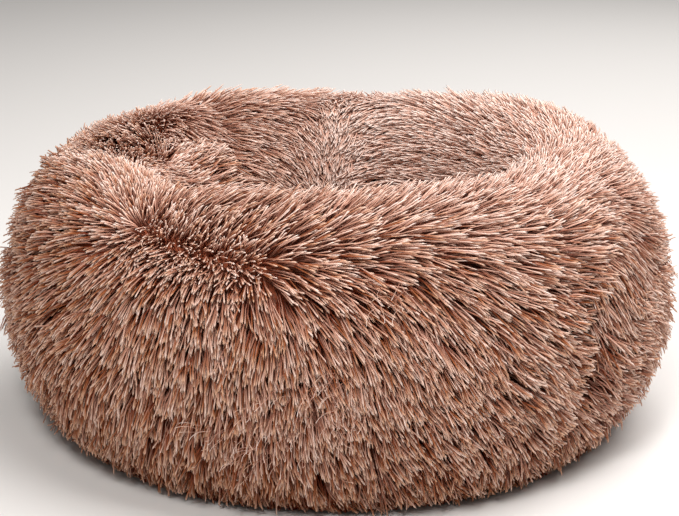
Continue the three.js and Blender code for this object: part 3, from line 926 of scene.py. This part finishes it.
for number in range(PILE_COUNT):
    start = SIDE_SEAM_AZIMUTH - math.pi + 2 * math.pi * number / PILE_COUNT
    azimuths = np.linspace(start, start + 2 * math.pi / PILE_COUNT, PILE_STEPS + 1)[:, None]
    turns = np.linspace(PILE_START_TURN, PILE_END_TURN, PILE_POINTS)[None, :]
    azimuths, turns = np.broadcast_arrays(azimuths, turns)
    lift = -fur_height(turns)
    roots = ring_points(azimuths, turns, lift)
    downs, sides = ways_along(azimuths, turns, lift, True)
    share_down, share_side = brushed(azimuths, turns)
    flats = LEAST_FLAT + (1 - LEAST_FLAT) * smooth(np.hypot(share_down, share_side) / LYING_SHARE)
    combs = downs * share_down[..., None] + sides * share_side[..., None]
    fullness = PILE_FULLNESS - PARTING_DROP * (1 - flats)
    heights = np.maximum(fullness * fur_height(turns), LEAST_PILE)
    bare = seam_bareness(azimuths, turns)
    piles = np.minimum(pile_length(heights, flats), MOST_LENGTH) * (1 - BARE_LENGTH * bare)
    piles = np.minimum(piles, seam_limit(azimuths, turns))
    # Painted light: the pile paler on the side towards the lights at the right, and more so over the crown
    # and in the nest
    lit_side = np.cos(azimuths - PAINTED_LIGHT_AZIMUTH)
    # Painted shade: the pile darker low down, towards the floor
    low_painted_shade = LOW_PAINTED_SHADE * (1 - smooth(fur_share(turns) / LOW_PAINTED_SHADE_REACH))
    top_reach = smooth((fur_share(turns) - TOP_PAINTED_LIGHT_START) / TOP_PAINTED_LIGHT_REACH)
    top_painted_light = (TOP_PAINTED_LIGHT + TOP_SIDE_PAINTED_LIGHT * lit_side) * top_reach
    cloth = root_cloth(
        f"fur_pile_{number + 1:02d}_cloth",
        roots,
        rise=np.cross(downs, sides),
        comb=combs,
        flat=flats,
        pile=piles,
        curl=curl_along(azimuths, turns, unit_rows(combs), share_down, share_side),
        shade=low_painted_shade + top_painted_light + SIDE_PAINTED_LIGHT * lit_side,
        thickness=(1 + PARTING_DENSITY * (1 - flats)) * (1 - BARE_DENSITY * bare),
    )
    pile = grow_tufts(f"fur_pile_{number + 1:02d}", cloth, number)

# Stray hairs: single fibres of the same polyester that have worked loose from their tufts in front.
# Their roots still hold them in the backing, and they curl over the pile.

# Where they show: azimuth and turn in degrees, and their reach
STRAY_PLACES = [(-96, 0, 0.015), (-103, -12, 0.013), (-82, 40, 0.007), (-89, 8, 0.010)]
STRAY_SIZES = {
    **TUFT_SIZES,
    "Density": 42000.0,
    "Tuft Width": 0.00017,
    "Clump Pull": 0.0,
    "Wander": 3.0,
    "Rings": 14,
    "Wave": 0.0034,
    "Wave Turns": 9.0,
}
STRAY_AZIMUTHS = np.radians(np.arange(-118, -71, 1.5))
STRAY_TURNS = np.radians(np.arange(-32, 56, 2.0))
STRAY_LIFT = 0.007
STRAY_LENGTH = 0.026
STRAY_FLAT = 0.8
STRAY_SHADE = 0.2
STRAY_SEED = 60
stray_azimuths, stray_turns = np.broadcast_arrays(STRAY_AZIMUTHS[:, None], STRAY_TURNS[None, :])
stray_roots = ring_points(stray_azimuths, stray_turns, -STRAY_LIFT)
cloth = root_cloth(
    "stray_hairs_cloth",
    stray_roots,
    rise=way_out(stray_azimuths, stray_turns),
    comb=ways_along(stray_azimuths, stray_turns, lumps=True)[0],
    flat=STRAY_FLAT,
    pile=STRAY_LENGTH,
    curl=0.0,
    shade=STRAY_SHADE,
    thickness=sum(nearness(stray_roots, *spot, -STRAY_LIFT, True) for spot in STRAY_PLACES),
)
stray_hairs = grow_tufts("stray_hairs", cloth, STRAY_SEED, STRAY_SIZES)

# The centre panel: a round of the same plush, sewn in at the bottom of the nest over the pad, and crowned a
# little. Its pile is pressed down and turned round by use.

CENTRE_RADIUS = 0.1060
CENTRE_CROWN = 0.008
CENTRE_RIM_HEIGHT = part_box("centre_panel")[1].z - CENTRE_CROWN
CENTRE_FULLNESS = 4
CENTRE_PILE = 0.015
CENTRE_TAPER = 0.030
CENTRE_RINGS = 26
CENTRE_STEPS = 96
AXIS_RADIUS = 0.001
WHIRL_START = math.pi * 0.4
WHIRL_TURNS = 1.4
CENTRE_FLAT = 0.75
CENTRE_FLAT_SWAY = 0.15
CENTRE_FLAT_SWAYS = 3
CENTRE_RIM_PILE = 0.45
CENTRE_PILE_SLOPE = 3
CENTRE_SHADE = 0.06
CENTRE_SEED = 100


def centre_height(radius):
    """The backing's top surface, which rises to the seam at the rim."""
    rise = CENTRE_CROWN * (1 - (radius / CENTRE_RADIUS) ** CENTRE_FULLNESS)
    return CENTRE_RIM_HEIGHT + rise - CENTRE_PILE * smooth((CENTRE_RADIUS - radius) / CENTRE_TAPER)


def disc_points(radii, heights, steps):
    """Rings of points round the bed's axis, a row for each radius."""
    angles = np.linspace(0, 2 * math.pi, steps, endpoint=False)[None, :]
    radii = np.asarray(radii)[:, None]
    heights = np.asarray(heights)[:, None]
    return np.stack([radii * np.cos(angles), radii * np.sin(angles), heights + 0 * angles], -1)


def lathe_piece(name, radii, heights, steps, finish):
    """A closed piece turned round the bed's axis, from a profile that starts and ends near the axis."""
    rows = len(radii)
    vertices = list(disc_points(radii, heights, steps).reshape(-1, 3))
    faces = strip_faces(rows, steps, closed=True)
    for row, turned_over in ((0, False), (rows - 1, True)):
        ring = [row * steps + j for j in range(steps)]
        faces.append(ring if turned_over else ring[::-1])
    piece = new_piece(name, vertices, faces, finish)
    set_outwards(piece)
    return piece


def set_outwards(piece):
    """Turns a closed piece's faces to point out of it."""
    shape = bmesh.new()
    shape.from_mesh(piece.data)
    bmesh.ops.recalc_face_normals(shape, faces=shape.faces)
    shape.to_mesh(piece.data)
    shape.free()


centre_radii = np.linspace(AXIS_RADIUS, CENTRE_RADIUS, CENTRE_RINGS)
centre_heights = centre_height(centre_radii)
centre_backing = lathe_piece(
    "centre_panel_backing",
    np.concatenate([centre_radii, centre_radii[::-1]]),
    np.concatenate([centre_heights, centre_heights[::-1] - BACKING_THICKNESS]),
    CENTRE_STEPS,
    backing_finish,
)
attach(centre_backing, "bed")
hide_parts("centre_panel")

centre_roots = disc_points(centre_radii, centre_heights, CENTRE_STEPS)
centre_roots = np.concatenate([centre_roots, centre_roots[:, :1]], 1)
round_angles = np.arctan2(centre_roots[..., 1], centre_roots[..., 0])
share_out = (centre_radii / CENTRE_RADIUS)[:, None] + 0 * round_angles
whirl = round_angles + WHIRL_TURNS * (1 - share_out) + WHIRL_START
centre_flats = CENTRE_FLAT + CENTRE_FLAT_SWAY * np.cos(CENTRE_FLAT_SWAYS * round_angles)
centre_pile_heights = CENTRE_PILE * smooth((1 - share_out) * CENTRE_PILE_SLOPE + CENTRE_RIM_PILE)
cloth = root_cloth(
    "centre_pile_cloth",
    centre_roots,
    rise=(0, 0, 1),
    comb=np.stack([np.cos(whirl), np.sin(whirl), 0 * whirl], -1),
    flat=centre_flats,
    pile=pile_length(np.maximum(centre_pile_heights, LEAST_PILE), centre_flats),
    curl=0.0,
    shade=CENTRE_SHADE,
    thickness=1.0,
)
centre_pile = grow_tufts("centre_pile", cloth, CENTRE_SEED)

# The inserts: a ring and a round pad of loose polyester fibre, each in a thin white liner sewn from two
# parts. They come out through the zip when the bed is washed, and the fur panels lie round them.

LINER_EASE = 0.0035
LINER_THICKNESS = 0.0012
LAYER_GAP = 0.0003
INSERT_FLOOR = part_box("bolster_liner_bottom")[0].z
LINER_INSET = FUR_THICKNESS + LINER_EASE
PUCKER_COUNT = 64
PUCKER_DEPTH = 0.0008
PUCKER_TURN = math.radians(14)
FREE_HEIGHT = 0.05
MOST_SHIFT = 0.001
INSERT_STEPS = 192
INSERT_POINTS = 25

liner_finish, maker, place = patterned_finish("liner_cloth")
threads = ribs(maker, place, 700.0, "DIAGONAL", Distortion=1.0)
two_tone(maker, noise(maker, place, 30.0, 3.0), (222, 219, 211), (242, 240, 234), {
    "Roughness": 0.85,
    "Normal": relief(maker, threads, 0.4, 0.0002),
})

fibre_finish, maker, place = patterned_finish("polyester_fibre")
strands = noise(maker, place, 240.0, 5.0, Distortion=2.0)
two_tone(maker, strands, (226, 226, 222), (252, 252, 250), {
    "Roughness": 0.95,
    "Normal": relief(maker, strands, 0.8, 0.002),
})


def insert_points(azimuth, turn, inset, floor_height):
    """Points of a layer inside the ring, which follows the lumps of the stuffed fur over it."""
    radius, height = ring_section(turn, inset, floor_height)
    lies_free = smooth((height - INSERT_FLOOR) / FREE_HEIGHT)
    outer = ring_points(azimuth, np.minimum(turn, SEAM_TURN), 0.0)
    plain = ring_section(np.minimum(turn, SEAM_TURN))
    shift_out = np.hypot(outer[..., 0], outer[..., 1]) - plain[0]
    shift_up = outer[..., 2] - plain[1]
    pucker = PUCKER_DEPTH * np.cos(PUCKER_COUNT * azimuth) * (
        np.exp(-((turn / PUCKER_TURN) ** 2)) + np.exp(-(((turn - NEST_TURN) / PUCKER_TURN) ** 2))
    )
    inwards = np.where(np.cos(turn) > 0, 1, -1)
    radius = radius + np.minimum(shift_out, MOST_SHIFT) * lies_free - inwards * np.abs(pucker)
    height = height + np.minimum(shift_up, MOST_SHIFT) * lies_free
    return np.stack([radius * np.cos(azimuth), radius * np.sin(azimuth), height], -1)


def ring_shell(name, turns, inset, floor_height, thickness, finish):
    """A closed ring of cloth over a run of the oval, or a solid ring where the thickness is none."""
    azimuths = np.linspace(0, 2 * math.pi, INSERT_STEPS, endpoint=False)[:, None]
    turns = turns[None, :]
    rows = insert_points(azimuths, turns, inset, floor_height)
    if thickness:
        inner = insert_points(azimuths, turns[:, ::-1], inset + thickness, floor_height + thickness)
        rows = np.concatenate([rows, inner], 1)
    faces = strip_faces(INSERT_STEPS, rows.shape[1], closed=True, looped=True)
    piece = new_piece(name, rows.reshape(-1, 3), faces, finish)
    set_outwards(piece)
    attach(piece, "bed")
    return piece


NO_TURN = 0.012
NEST_FOOT_TURN = 1.5 * math.pi
top_turns = np.linspace(NO_TURN, NEST_TURN - NO_TURN, INSERT_POINTS)
low_turns = np.concatenate([
    np.linspace(NEST_TURN + NO_TURN, NEST_FOOT_TURN, INSERT_POINTS // 2),
    np.linspace(FOOT_TURN, -NO_TURN, INSERT_POINTS // 2),
])
for part, turns in (("top", top_turns), ("bottom", low_turns)):
    name = f"bolster_liner_{part}_cloth"
    liner = ring_shell(name, turns, LINER_INSET, INSERT_FLOOR, LINER_THICKNESS, liner_finish)
    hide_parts(f"bolster_liner_{part}")
fill_turns = np.concatenate([
    np.linspace(FOOT_TURN, NEST_TURN, 2 * INSERT_POINTS)[:-1],
    np.linspace(NEST_TURN, NEST_FOOT_TURN, INSERT_POINTS),
])
fill_inset = LINER_INSET + LINER_THICKNESS + LAYER_GAP
fill_floor = INSERT_FLOOR + LINER_THICKNESS + LAYER_GAP
ring_fibre = ring_shell("bolster_fibre", fill_turns, fill_inset, fill_floor, 0, fibre_finish)
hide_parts("bolster_fill")

PAD_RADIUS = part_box("pad_liner_top")[1].x
PAD_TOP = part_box("pad_liner_top")[1].z
PAD_WAIST_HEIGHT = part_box("pad_liner_top")[0].z
PAD_FOOT_RADIUS = 0.096
PAD_FULLNESS = 2.6
PAD_RINGS = 20
PAD_AXIS_SHARE = 0.02
PAD_AXIS_RADIUS = 0.002
PAD_FOOT_SLOPE = 1.6


def pad_profile(inset):
    """The pad's upper half from the axis to the waist, as radii and heights."""
    share = np.sin(np.linspace(PAD_AXIS_SHARE, math.pi / 2, PAD_RINGS))
    reach = (1 - np.minimum(share, 1) ** PAD_FULLNESS) ** (1 / PAD_FULLNESS)
    radius = PAD_RADIUS - inset
    return radius * share, PAD_WAIST_HEIGHT + (PAD_TOP - inset - PAD_WAIST_HEIGHT) * reach


def pad_low_profile(inset, drop):
    """The pad's lower half from the waist to the axis."""
    share = np.linspace(0, 1, PAD_RINGS)
    radius = PAD_RADIUS - inset + (PAD_FOOT_RADIUS - PAD_RADIUS) * share ** PAD_FOOT_SLOPE
    fall = INSERT_FLOOR + inset - PAD_WAIST_HEIGHT + drop
    height = (PAD_WAIST_HEIGHT - drop) + fall * np.sin(share * math.pi / 2)
    return np.append(radius, PAD_AXIS_RADIUS), np.append(height, INSERT_FLOOR + inset)


def pad_shell(name, outer, inner):
    """One half of the pad's liner, between an outer and an inner profile."""
    radii = np.concatenate([outer[0], inner[0][::-1]])
    heights = np.concatenate([outer[1], inner[1][::-1]])
    piece = lathe_piece(name, radii, heights, CENTRE_STEPS, liner_finish)
    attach(piece, "bed")
    return piece


pad_top_cloth = pad_shell("pad_liner_top_cloth", pad_profile(0), pad_profile(LINER_THICKNESS))
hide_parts("pad_liner_top")
low_outer = [run[::-1] for run in pad_low_profile(0, LAYER_GAP)]
low_inner = [run[::-1] for run in pad_low_profile(LINER_THICKNESS, LAYER_GAP)]
pad_low_cloth = pad_shell("pad_liner_bottom_cloth", low_outer, low_inner)
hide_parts("pad_liner_bottom")
pad_fill_inset = LINER_THICKNESS + LAYER_GAP
upper = pad_profile(pad_fill_inset)
lower = pad_low_profile(pad_fill_inset, 0)
fill_profile = [np.concatenate([high, low[1:]]) for high, low in zip(upper, lower)]
pad_fibre = lathe_piece("pad_fibre", *fill_profile, CENTRE_STEPS, fibre_finish)
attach(pad_fibre, "bed")
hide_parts("pad_fill")

# The base: a round of brown non-slip cloth cut in two for the zip, with rubber dots underneath and a layer
# of wadding above. Its window for the zip has turned-up hems, sewn down with a row of stitches.

BASE_RADIUS = 0.199
ZIP_OFFSET = 0.060
WINDOW_HALF_LENGTH = 0.168
WINDOW_HALF_WIDTH = 0.014
HEM_THICKNESS = 0.002
HEM_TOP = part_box("base_panel_front")[1].z
CLOTH_TOP = 0.0015
DOT_HEIGHT = 0.0006
DOT_TIP_SHARE = 0.6
DOT_RADIUS = 0.0019
DOT_SPACING = 0.0085
DOT_MARGIN = 0.008
STITCH_INSET = 0.004
BASE_ARC_STEPS = 160

base_finish, maker, place = patterned_finish("non_slip_cloth")
weave = ribs(maker, place, 260.0, "X", Distortion=0.4) * ribs(maker, place, 260.0, "Y", Distortion=0.4)
wear = noise(maker, place, 14.0, 4.0)
two_tone(maker, 0.5 * weave + 0.5 * wear, (82, 58, 47), (128, 97, 82), {
    "Roughness": 0.75 + 0.15 * wear,
    "Normal": relief(maker, weave, 0.6, 0.0003),
})
rubber_finish, maker, place = patterned_finish("rubber_dots")
dust = noise(maker, place, 60.0, 3.0)
two_tone(maker, dust, (58, 42, 35), (88, 68, 58), {"Roughness": 0.45 + 0.25 * dust})


def half_disc(radius, side, notch_half_length, notch_width):
    """The outline of the base on one side of the zip, with a notch of its own for the zip."""
    edge = ZIP_OFFSET + side * LAYER_GAP / 2
    start = math.asin(edge / radius)
    low, high = (start, math.pi - start) if side > 0 else (math.pi - start, 2 * math.pi + start)
    turns = np.linspace(low, high, BASE_ARC_STEPS)
    outline = [(radius * math.cos(a), radius * math.sin(a)) for a in turns]
    inner = ZIP_OFFSET + side * notch_width
    outline += [(-side * notch_half_length, edge), (-side * notch_half_length, inner),
                (side * notch_half_length, inner), (side * notch_half_length, edge)]
    return outline


def plate_piece(name, outline, bottom, top, finish):
    """A flat piece of cloth of an outline, between two heights."""
    count = len(outline)
    vertices = [(x, y, z) for z in (bottom, top) for x, y in outline]
    faces = [tuple(range(count)), tuple(range(2 * count - 1, count - 1, -1))]
    faces += [(j, (j + 1) % count, count + (j + 1) % count, count + j) for j in range(count)]
    piece = new_piece(name, vertices, faces, finish, smooth_faces=False)
    shape = bmesh.new()
    shape.from_mesh(piece.data)
    bmesh.ops.triangulate(shape, faces=[f for f in shape.faces if len(f.verts) > 4])
    shape.to_mesh(piece.data)
    shape.free()
    set_outwards(piece)
    return piece


def joined_piece(name, pieces):
    """One piece from several, which are used up."""
    shape = bmesh.new()
    for piece in pieces:
        shape.from_mesh(piece.data)
    mesh = bpy.data.meshes.new(name)
    shape.to_mesh(mesh)
    shape.free()
    for finish in pieces[0].data.materials:
        mesh.materials.append(finish)
    for piece in pieces:
        bpy.data.objects.remove(piece)
    return add_object(name, mesh)


def spaced_points(maker, given):
    """Points along the line that a tree is given, at its spacing."""
    line = maker.add("GeometryNodeMeshToCurve", None, {"Mesh": given.out("Geometry")})
    spacing = {"Curve": line, "Length": given.out("Spacing")}
    return maker.add("GeometryNodeCurveToPoints", {"mode": "LENGTH"}, spacing)


def bead(maker, segments, half_x, half_y, half_z):
    """A small rounded piece with three half widths."""
    ball = maker.add("GeometryNodeMeshUVSphere", None, {"Segments": segments, "Rings": 5, "Radius": 1.0})
    size = maker.add("ShaderNodeCombineXYZ", None, {"X": half_x, "Y": half_y, "Z": half_z})
    return maker.add("GeometryNodeTransform", None, {"Geometry": ball, "Scale": size})


dot_tree, maker, given = new_tree(
    "rubber_dots",
    "Side", "Radius", "Spacing", "Dot Radius", "Dot Height", "Zip Offset", "Keep Clear",
)
size = given.out("Radius") * 2
count = size / given.out("Spacing")
grid = maker.add("GeometryNodeMeshGrid", None, {
    "Size X": size, "Size Y": size, "Vertices X": count, "Vertices Y": count,
})
spot = maker.add("GeometryNodeInputPosition")
far_out = spot.part("X") ** 2 + spot.part("Y") ** 2
beyond = far_out.apply("GREATER_THAN", given.out("Radius") ** 2)
past_zip = (spot.part("Y") - given.out("Zip Offset")) * given.out("Side")
left_out = beyond.apply("MAXIMUM", past_zip.apply("LESS_THAN", given.out("Keep Clear")))
spare = {"Geometry": grid, "Selection": left_out}
grid = maker.add("GeometryNodeDeleteGeometry", {"domain": "POINT"}, spare)
dot = maker.add("GeometryNodeMeshCone", {"fill_type": "NGON"}, {
    "Vertices": 8,
    "Radius Top": given.out("Dot Radius"),
    "Radius Bottom": given.out("Dot Radius") * DOT_TIP_SHARE,
    "Depth": given.out("Dot Height"),
})
end_tree(maker, given, placed_copies(maker, grid, dot), shade_smooth=False)

stitch_tree, maker, given = new_tree("stitches", "Spacing", "Stitch Length", "Thread Radius")
knots = spaced_points(maker, given)
radius = given.out("Thread Radius")
stitch = bead(maker, 6, radius, radius, given.out("Stitch Length") / 2)
end_tree(maker, given, placed_copies(maker, knots, stitch, Rotation=knots.out("Rotation")))

thread_finish, maker, place = patterned_finish("sewing_thread")
two_tone(maker, ribs(maker, place, 900.0, "DIAGONAL"), (96, 70, 58), (140, 108, 92), {"Roughness": 0.6})


def line_piece(name, points, closed=False):
    """A run of edges for stitches or teeth to follow."""
    mesh = bpy.data.meshes.new(name)
    edges = [(j, j + 1) for j in range(len(points) - 1)]
    if closed:
        edges.append((len(points) - 1, 0))
    mesh.from_pydata([tuple(p) for p in points], edges, [])
    return add_object(name, mesh)


def sew(name, points, closed=False):
    """A row of machine stitches along a line, which rides with the bed."""
    row = grown(name, line_piece(name + "_line", points, closed), stitch_tree, {
        "Spacing": 0.0032, "Stitch Length": 0.0025, "Thread Radius": 0.00028, "Material": thread_finish,
    })
    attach(row, "bed")
    return row


far = WINDOW_HALF_LENGTH + HEM_THICKNESS
for place_name, side in (("front", -1), ("rear", 1)):
    edge = ZIP_OFFSET + side * LAYER_GAP / 2
    inner = ZIP_OFFSET + side * WINDOW_HALF_WIDTH
    outer = ZIP_OFFSET + side * (WINDOW_HALF_WIDTH + HEM_THICKNESS)
    hem = [(-far, edge), (-far, outer), (far, outer), (far, edge), (WINDOW_HALF_LENGTH, edge),
           (WINDOW_HALF_LENGTH, inner), (-WINDOW_HALF_LENGTH, inner), (-WINDOW_HALF_LENGTH, edge)]
    base = joined_piece(f"base_cloth_{place_name}", [
        plate_piece("base_sheet", half_disc(BASE_RADIUS, side, WINDOW_HALF_LENGTH, WINDOW_HALF_WIDTH),
                    DOT_HEIGHT, CLOTH_TOP, base_finish),
        plate_piece("hem_wall", hem, CLOTH_TOP, HEM_TOP, base_finish),
    ])
    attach(base, "bed")
    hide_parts(f"base_panel_{place_name}")
    dots = grown(f"rubber_dots_{place_name}", line_piece("dots_from", [(0, 0, 0), (MM, 0, 0)]), dot_tree, {
        "Side": float(side),
        "Radius": BASE_RADIUS - DOT_MARGIN,
        "Spacing": DOT_SPACING,
        "Dot Radius": DOT_RADIUS,
        "Dot Height": DOT_HEIGHT,
        "Zip Offset": ZIP_OFFSET,
        "Keep Clear": WINDOW_HALF_WIDTH + DOT_MARGIN,
        "Material": rubber_finish,
    })
    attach(dots, "bed")
    seam = ZIP_OFFSET + side * (WINDOW_HALF_WIDTH + STITCH_INSET)
    ends = (-WINDOW_HALF_LENGTH, WINDOW_HALF_LENGTH)
    sew(f"window_stitches_{place_name}", [(end, seam, DOT_HEIGHT) for end in ends])
    notch = HEM_THICKNESS + LAYER_GAP
    wadding_low, wadding_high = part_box(f"base_wadding_{place_name}")
    wadding = plate_piece(
        f"wadding_{place_name}",
        half_disc(BASE_RADIUS, side, WINDOW_HALF_LENGTH + notch, WINDOW_HALF_WIDTH + notch),
        wadding_low.z,
        wadding_high.z,
        fibre_finish,
    )
    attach(wadding, "bed")
    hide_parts(f"base_wadding_{place_name}")

# The binding: a twill tape folded round the edge where the base meets the fur panels, sewn through all
# layers with one row of stitches round the bed.

BINDING_INNER = BASE_RADIUS + LAYER_GAP
BINDING_THICKNESS = 0.002
BINDING_OUTER = BINDING_INNER + BINDING_THICKNESS
BINDING_BEVEL = 0.0005
BINDING_FOLD = 0.0006
BINDING_STITCH_SHARE = 0.7
BINDING_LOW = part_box("base_binding")[0].z
BINDING_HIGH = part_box("base_binding")[1].z
BINDING_STEPS = 360
BINDING_WAVES = 110
BINDING_WAVE = 0.00025

binding_finish, maker, place = patterned_finish("twill_tape")
twill = ribs(maker, place, 420.0, "DIAGONAL")
wear = noise(maker, place, 25.0, 3.0)
two_tone(maker, 0.6 * twill + 0.4 * wear, (74, 50, 40), (112, 82, 68), {
    "Roughness": 0.85,
    "Normal": relief(maker, twill, 0.5, 0.0002),
})

angles = np.linspace(0, 2 * math.pi, BINDING_STEPS, endpoint=False)
profile = [
    (BINDING_INNER, BINDING_LOW),
    (BINDING_OUTER - BINDING_BEVEL, BINDING_LOW),
    (BINDING_OUTER, BINDING_LOW + BINDING_FOLD),
    (BINDING_OUTER, BINDING_HIGH - BINDING_FOLD),
    (BINDING_OUTER - BINDING_BEVEL, BINDING_HIGH),
    (BINDING_INNER, BINDING_HIGH),
]
vertices = []
for angle in angles:
    dent = max(BINDING_WAVE * math.cos(BINDING_WAVES * angle), 0)
    vertices += [((r - dent) * math.cos(angle), (r - dent) * math.sin(angle), z) for r, z in profile]
faces = strip_faces(BINDING_STEPS, len(profile), closed=True, looped=True)
binding = new_piece("binding_tape", vertices, faces, binding_finish)
set_outwards(binding)
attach(binding, "bed")
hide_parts("base_binding")
sew_height = BINDING_LOW + BINDING_STITCH_SHARE * (BINDING_HIGH - BINDING_LOW)
sewn_line = [(BINDING_OUTER * math.cos(a), BINDING_OUTER * math.sin(a), sew_height) for a in angles]
sew("binding_stitches", sewn_line, closed=True)

# The zip: two woven tapes sewn on the hems, a row of nylon teeth on each, and a metal stop at each end.
# The slider and its pull are zinc, and run along the teeth under the bed.

TOOTH_SPACING = 0.0016
TOOTH_HALF_WIDTH = 0.00036
ROW_HALF_LENGTH = 0.147

tape_finish, maker, place = patterned_finish("zip_tape")
herring = ribs(maker, place, 480.0, "DIAGONAL")
two_tone(maker, 0.5 * ribs(maker, place, 330.0, "Y") + 0.5 * herring, (84, 58, 46), (124, 92, 77), {
    "Roughness": 0.8,
    "Normal": relief(maker, herring, 0.5, 0.0002),
})
teeth_finish, maker, place = patterned_finish("nylon_teeth")
rub = noise(maker, place, 90.0, 2.0)
two_tone(maker, rub, (70, 50, 40), (100, 75, 62), {"Roughness": 0.32 + 0.15 * rub, "Coat Weight": 0.2})
metal_finish, maker, place = patterned_finish("zinc")
scuffs = noise(maker, place * (1.0, 14.0, 1.0), 160.0, 4.0)
two_tone(maker, scuffs, (168, 166, 164), (214, 212, 210), {
    "Metallic": 1.0,
    "Roughness": 0.24 + 0.22 * scuffs,
    "Normal": relief(maker, scuffs, 0.15, 0.0001),
})

tooth_tree, maker, given = new_tree("coil_teeth", "Spacing", "Half Width", "Half Height", "Reach")
tooth = bead(maker, 8, given.out("Half Width"), given.out("Reach") / 2, given.out("Half Height"))
end_tree(maker, given, placed_copies(maker, spaced_points(maker, given), tooth))

for place_name, side in (("front", -1), ("rear", 1)):
    row_low, row_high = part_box(f"zip_row_{place_name}")
    row_height = (row_low.z + row_high.z) / 2
    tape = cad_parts[f"zip_tape_{place_name}"]
    tape.data.materials.clear()
    tape.data.materials.append(tape_finish)
    start = -ROW_HALF_LENGTH + (1 + side) * TOOTH_SPACING / 4 + TOOTH_SPACING / 2
    middle = (row_low.y + row_high.y) / 2
    ends = (start, ROW_HALF_LENGTH - TOOTH_SPACING)
    line = line_piece("teeth_line", [(end, middle, row_height) for end in ends])
    teeth = grown(f"zip_teeth_{place_name}", line, tooth_tree, {
        "Spacing": TOOTH_SPACING,
        "Half Width": TOOTH_HALF_WIDTH,
        "Half Height": (row_high.z - row_low.z) / 2,
        "Reach": row_high.y - row_low.y,
        "Material": teeth_finish,
    })
    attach(teeth, "bed")
    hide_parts(f"zip_row_{place_name}")
for name in ("zip_top_stop", "zip_bottom_stop", "zip_slider", "zip_pull"):
    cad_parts[name].data.materials.clear()
    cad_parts[name].data.materials.append(metal_finish)

# The care label: a blank folded strip of white satin ribbon, caught in the base seam at the rear.
# It lies just over the floor and says nothing.

LABEL_AZIMUTH = math.radians(118)
LABEL_INNER = BINDING_OUTER + LAYER_GAP
LABEL_LENGTH = 0.026
LABEL_HALF_WIDTH = 0.020
LABEL_LAYER = 0.00028
LABEL_LIFT = 0.0009
LABEL_STEPS = 14
LABEL_WAVE = 0.0007
LABEL_WAVE_TURNS = 2.6
LABEL_WAVE_SKEW = 0.5
LABEL_CURL = 0.0006

label_finish, maker, place = patterned_finish("label_satin")
satin = ribs(maker, place, 800.0, "DIAGONAL")
two_tone(maker, satin, (226, 222, 212), (244, 241, 234), {
    "Roughness": 0.55,
    "Normal": relief(maker, satin, 0.25, 0.0001),
})


def label_point(out, across, level):
    """A point of the folded label, which curls a little towards its free end."""
    share = out / LABEL_LENGTH
    wave = LABEL_WAVE * math.sin(LABEL_WAVE_TURNS * share) * (1 + LABEL_WAVE_SKEW * across)
    height = LABEL_LIFT + level + wave + LABEL_CURL * share * share
    x = LABEL_INNER + out
    y = across * LABEL_HALF_WIDTH
    return (
        x * math.cos(LABEL_AZIMUTH) - y * math.sin(LABEL_AZIMUTH),
        x * math.sin(LABEL_AZIMUTH) + y * math.cos(LABEL_AZIMUTH),
        height,
    )


outs = np.linspace(0, LABEL_LENGTH, LABEL_STEPS)
fold = (LABEL_LENGTH + LABEL_LAYER, LABEL_LAYER)
loop = [(out, 0.0) for out in outs] + [fold] + [(out, 2 * LABEL_LAYER) for out in outs[::-1]]
sides = np.linspace(-1, 1, LABEL_STEPS)
vertices = [label_point(out, across, level) for across in sides for out, level in loop]
columns = len(loop)
faces = strip_faces(LABEL_STEPS, columns, closed=True)
for row, turned_over in ((0, True), (LABEL_STEPS - 1, False)):
    cap = [row * columns + j for j in range(columns)]
    faces += [
        (cap[j], cap[j + 1], cap[columns - 2 - j], cap[columns - 1 - j])[::-1 if turned_over else 1]
        for j in range(columns // 2)
    ]
label = new_piece("blank_care_label", vertices, faces, label_finish)
set_outwards(label)
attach(label, "bed")
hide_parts("care_label")
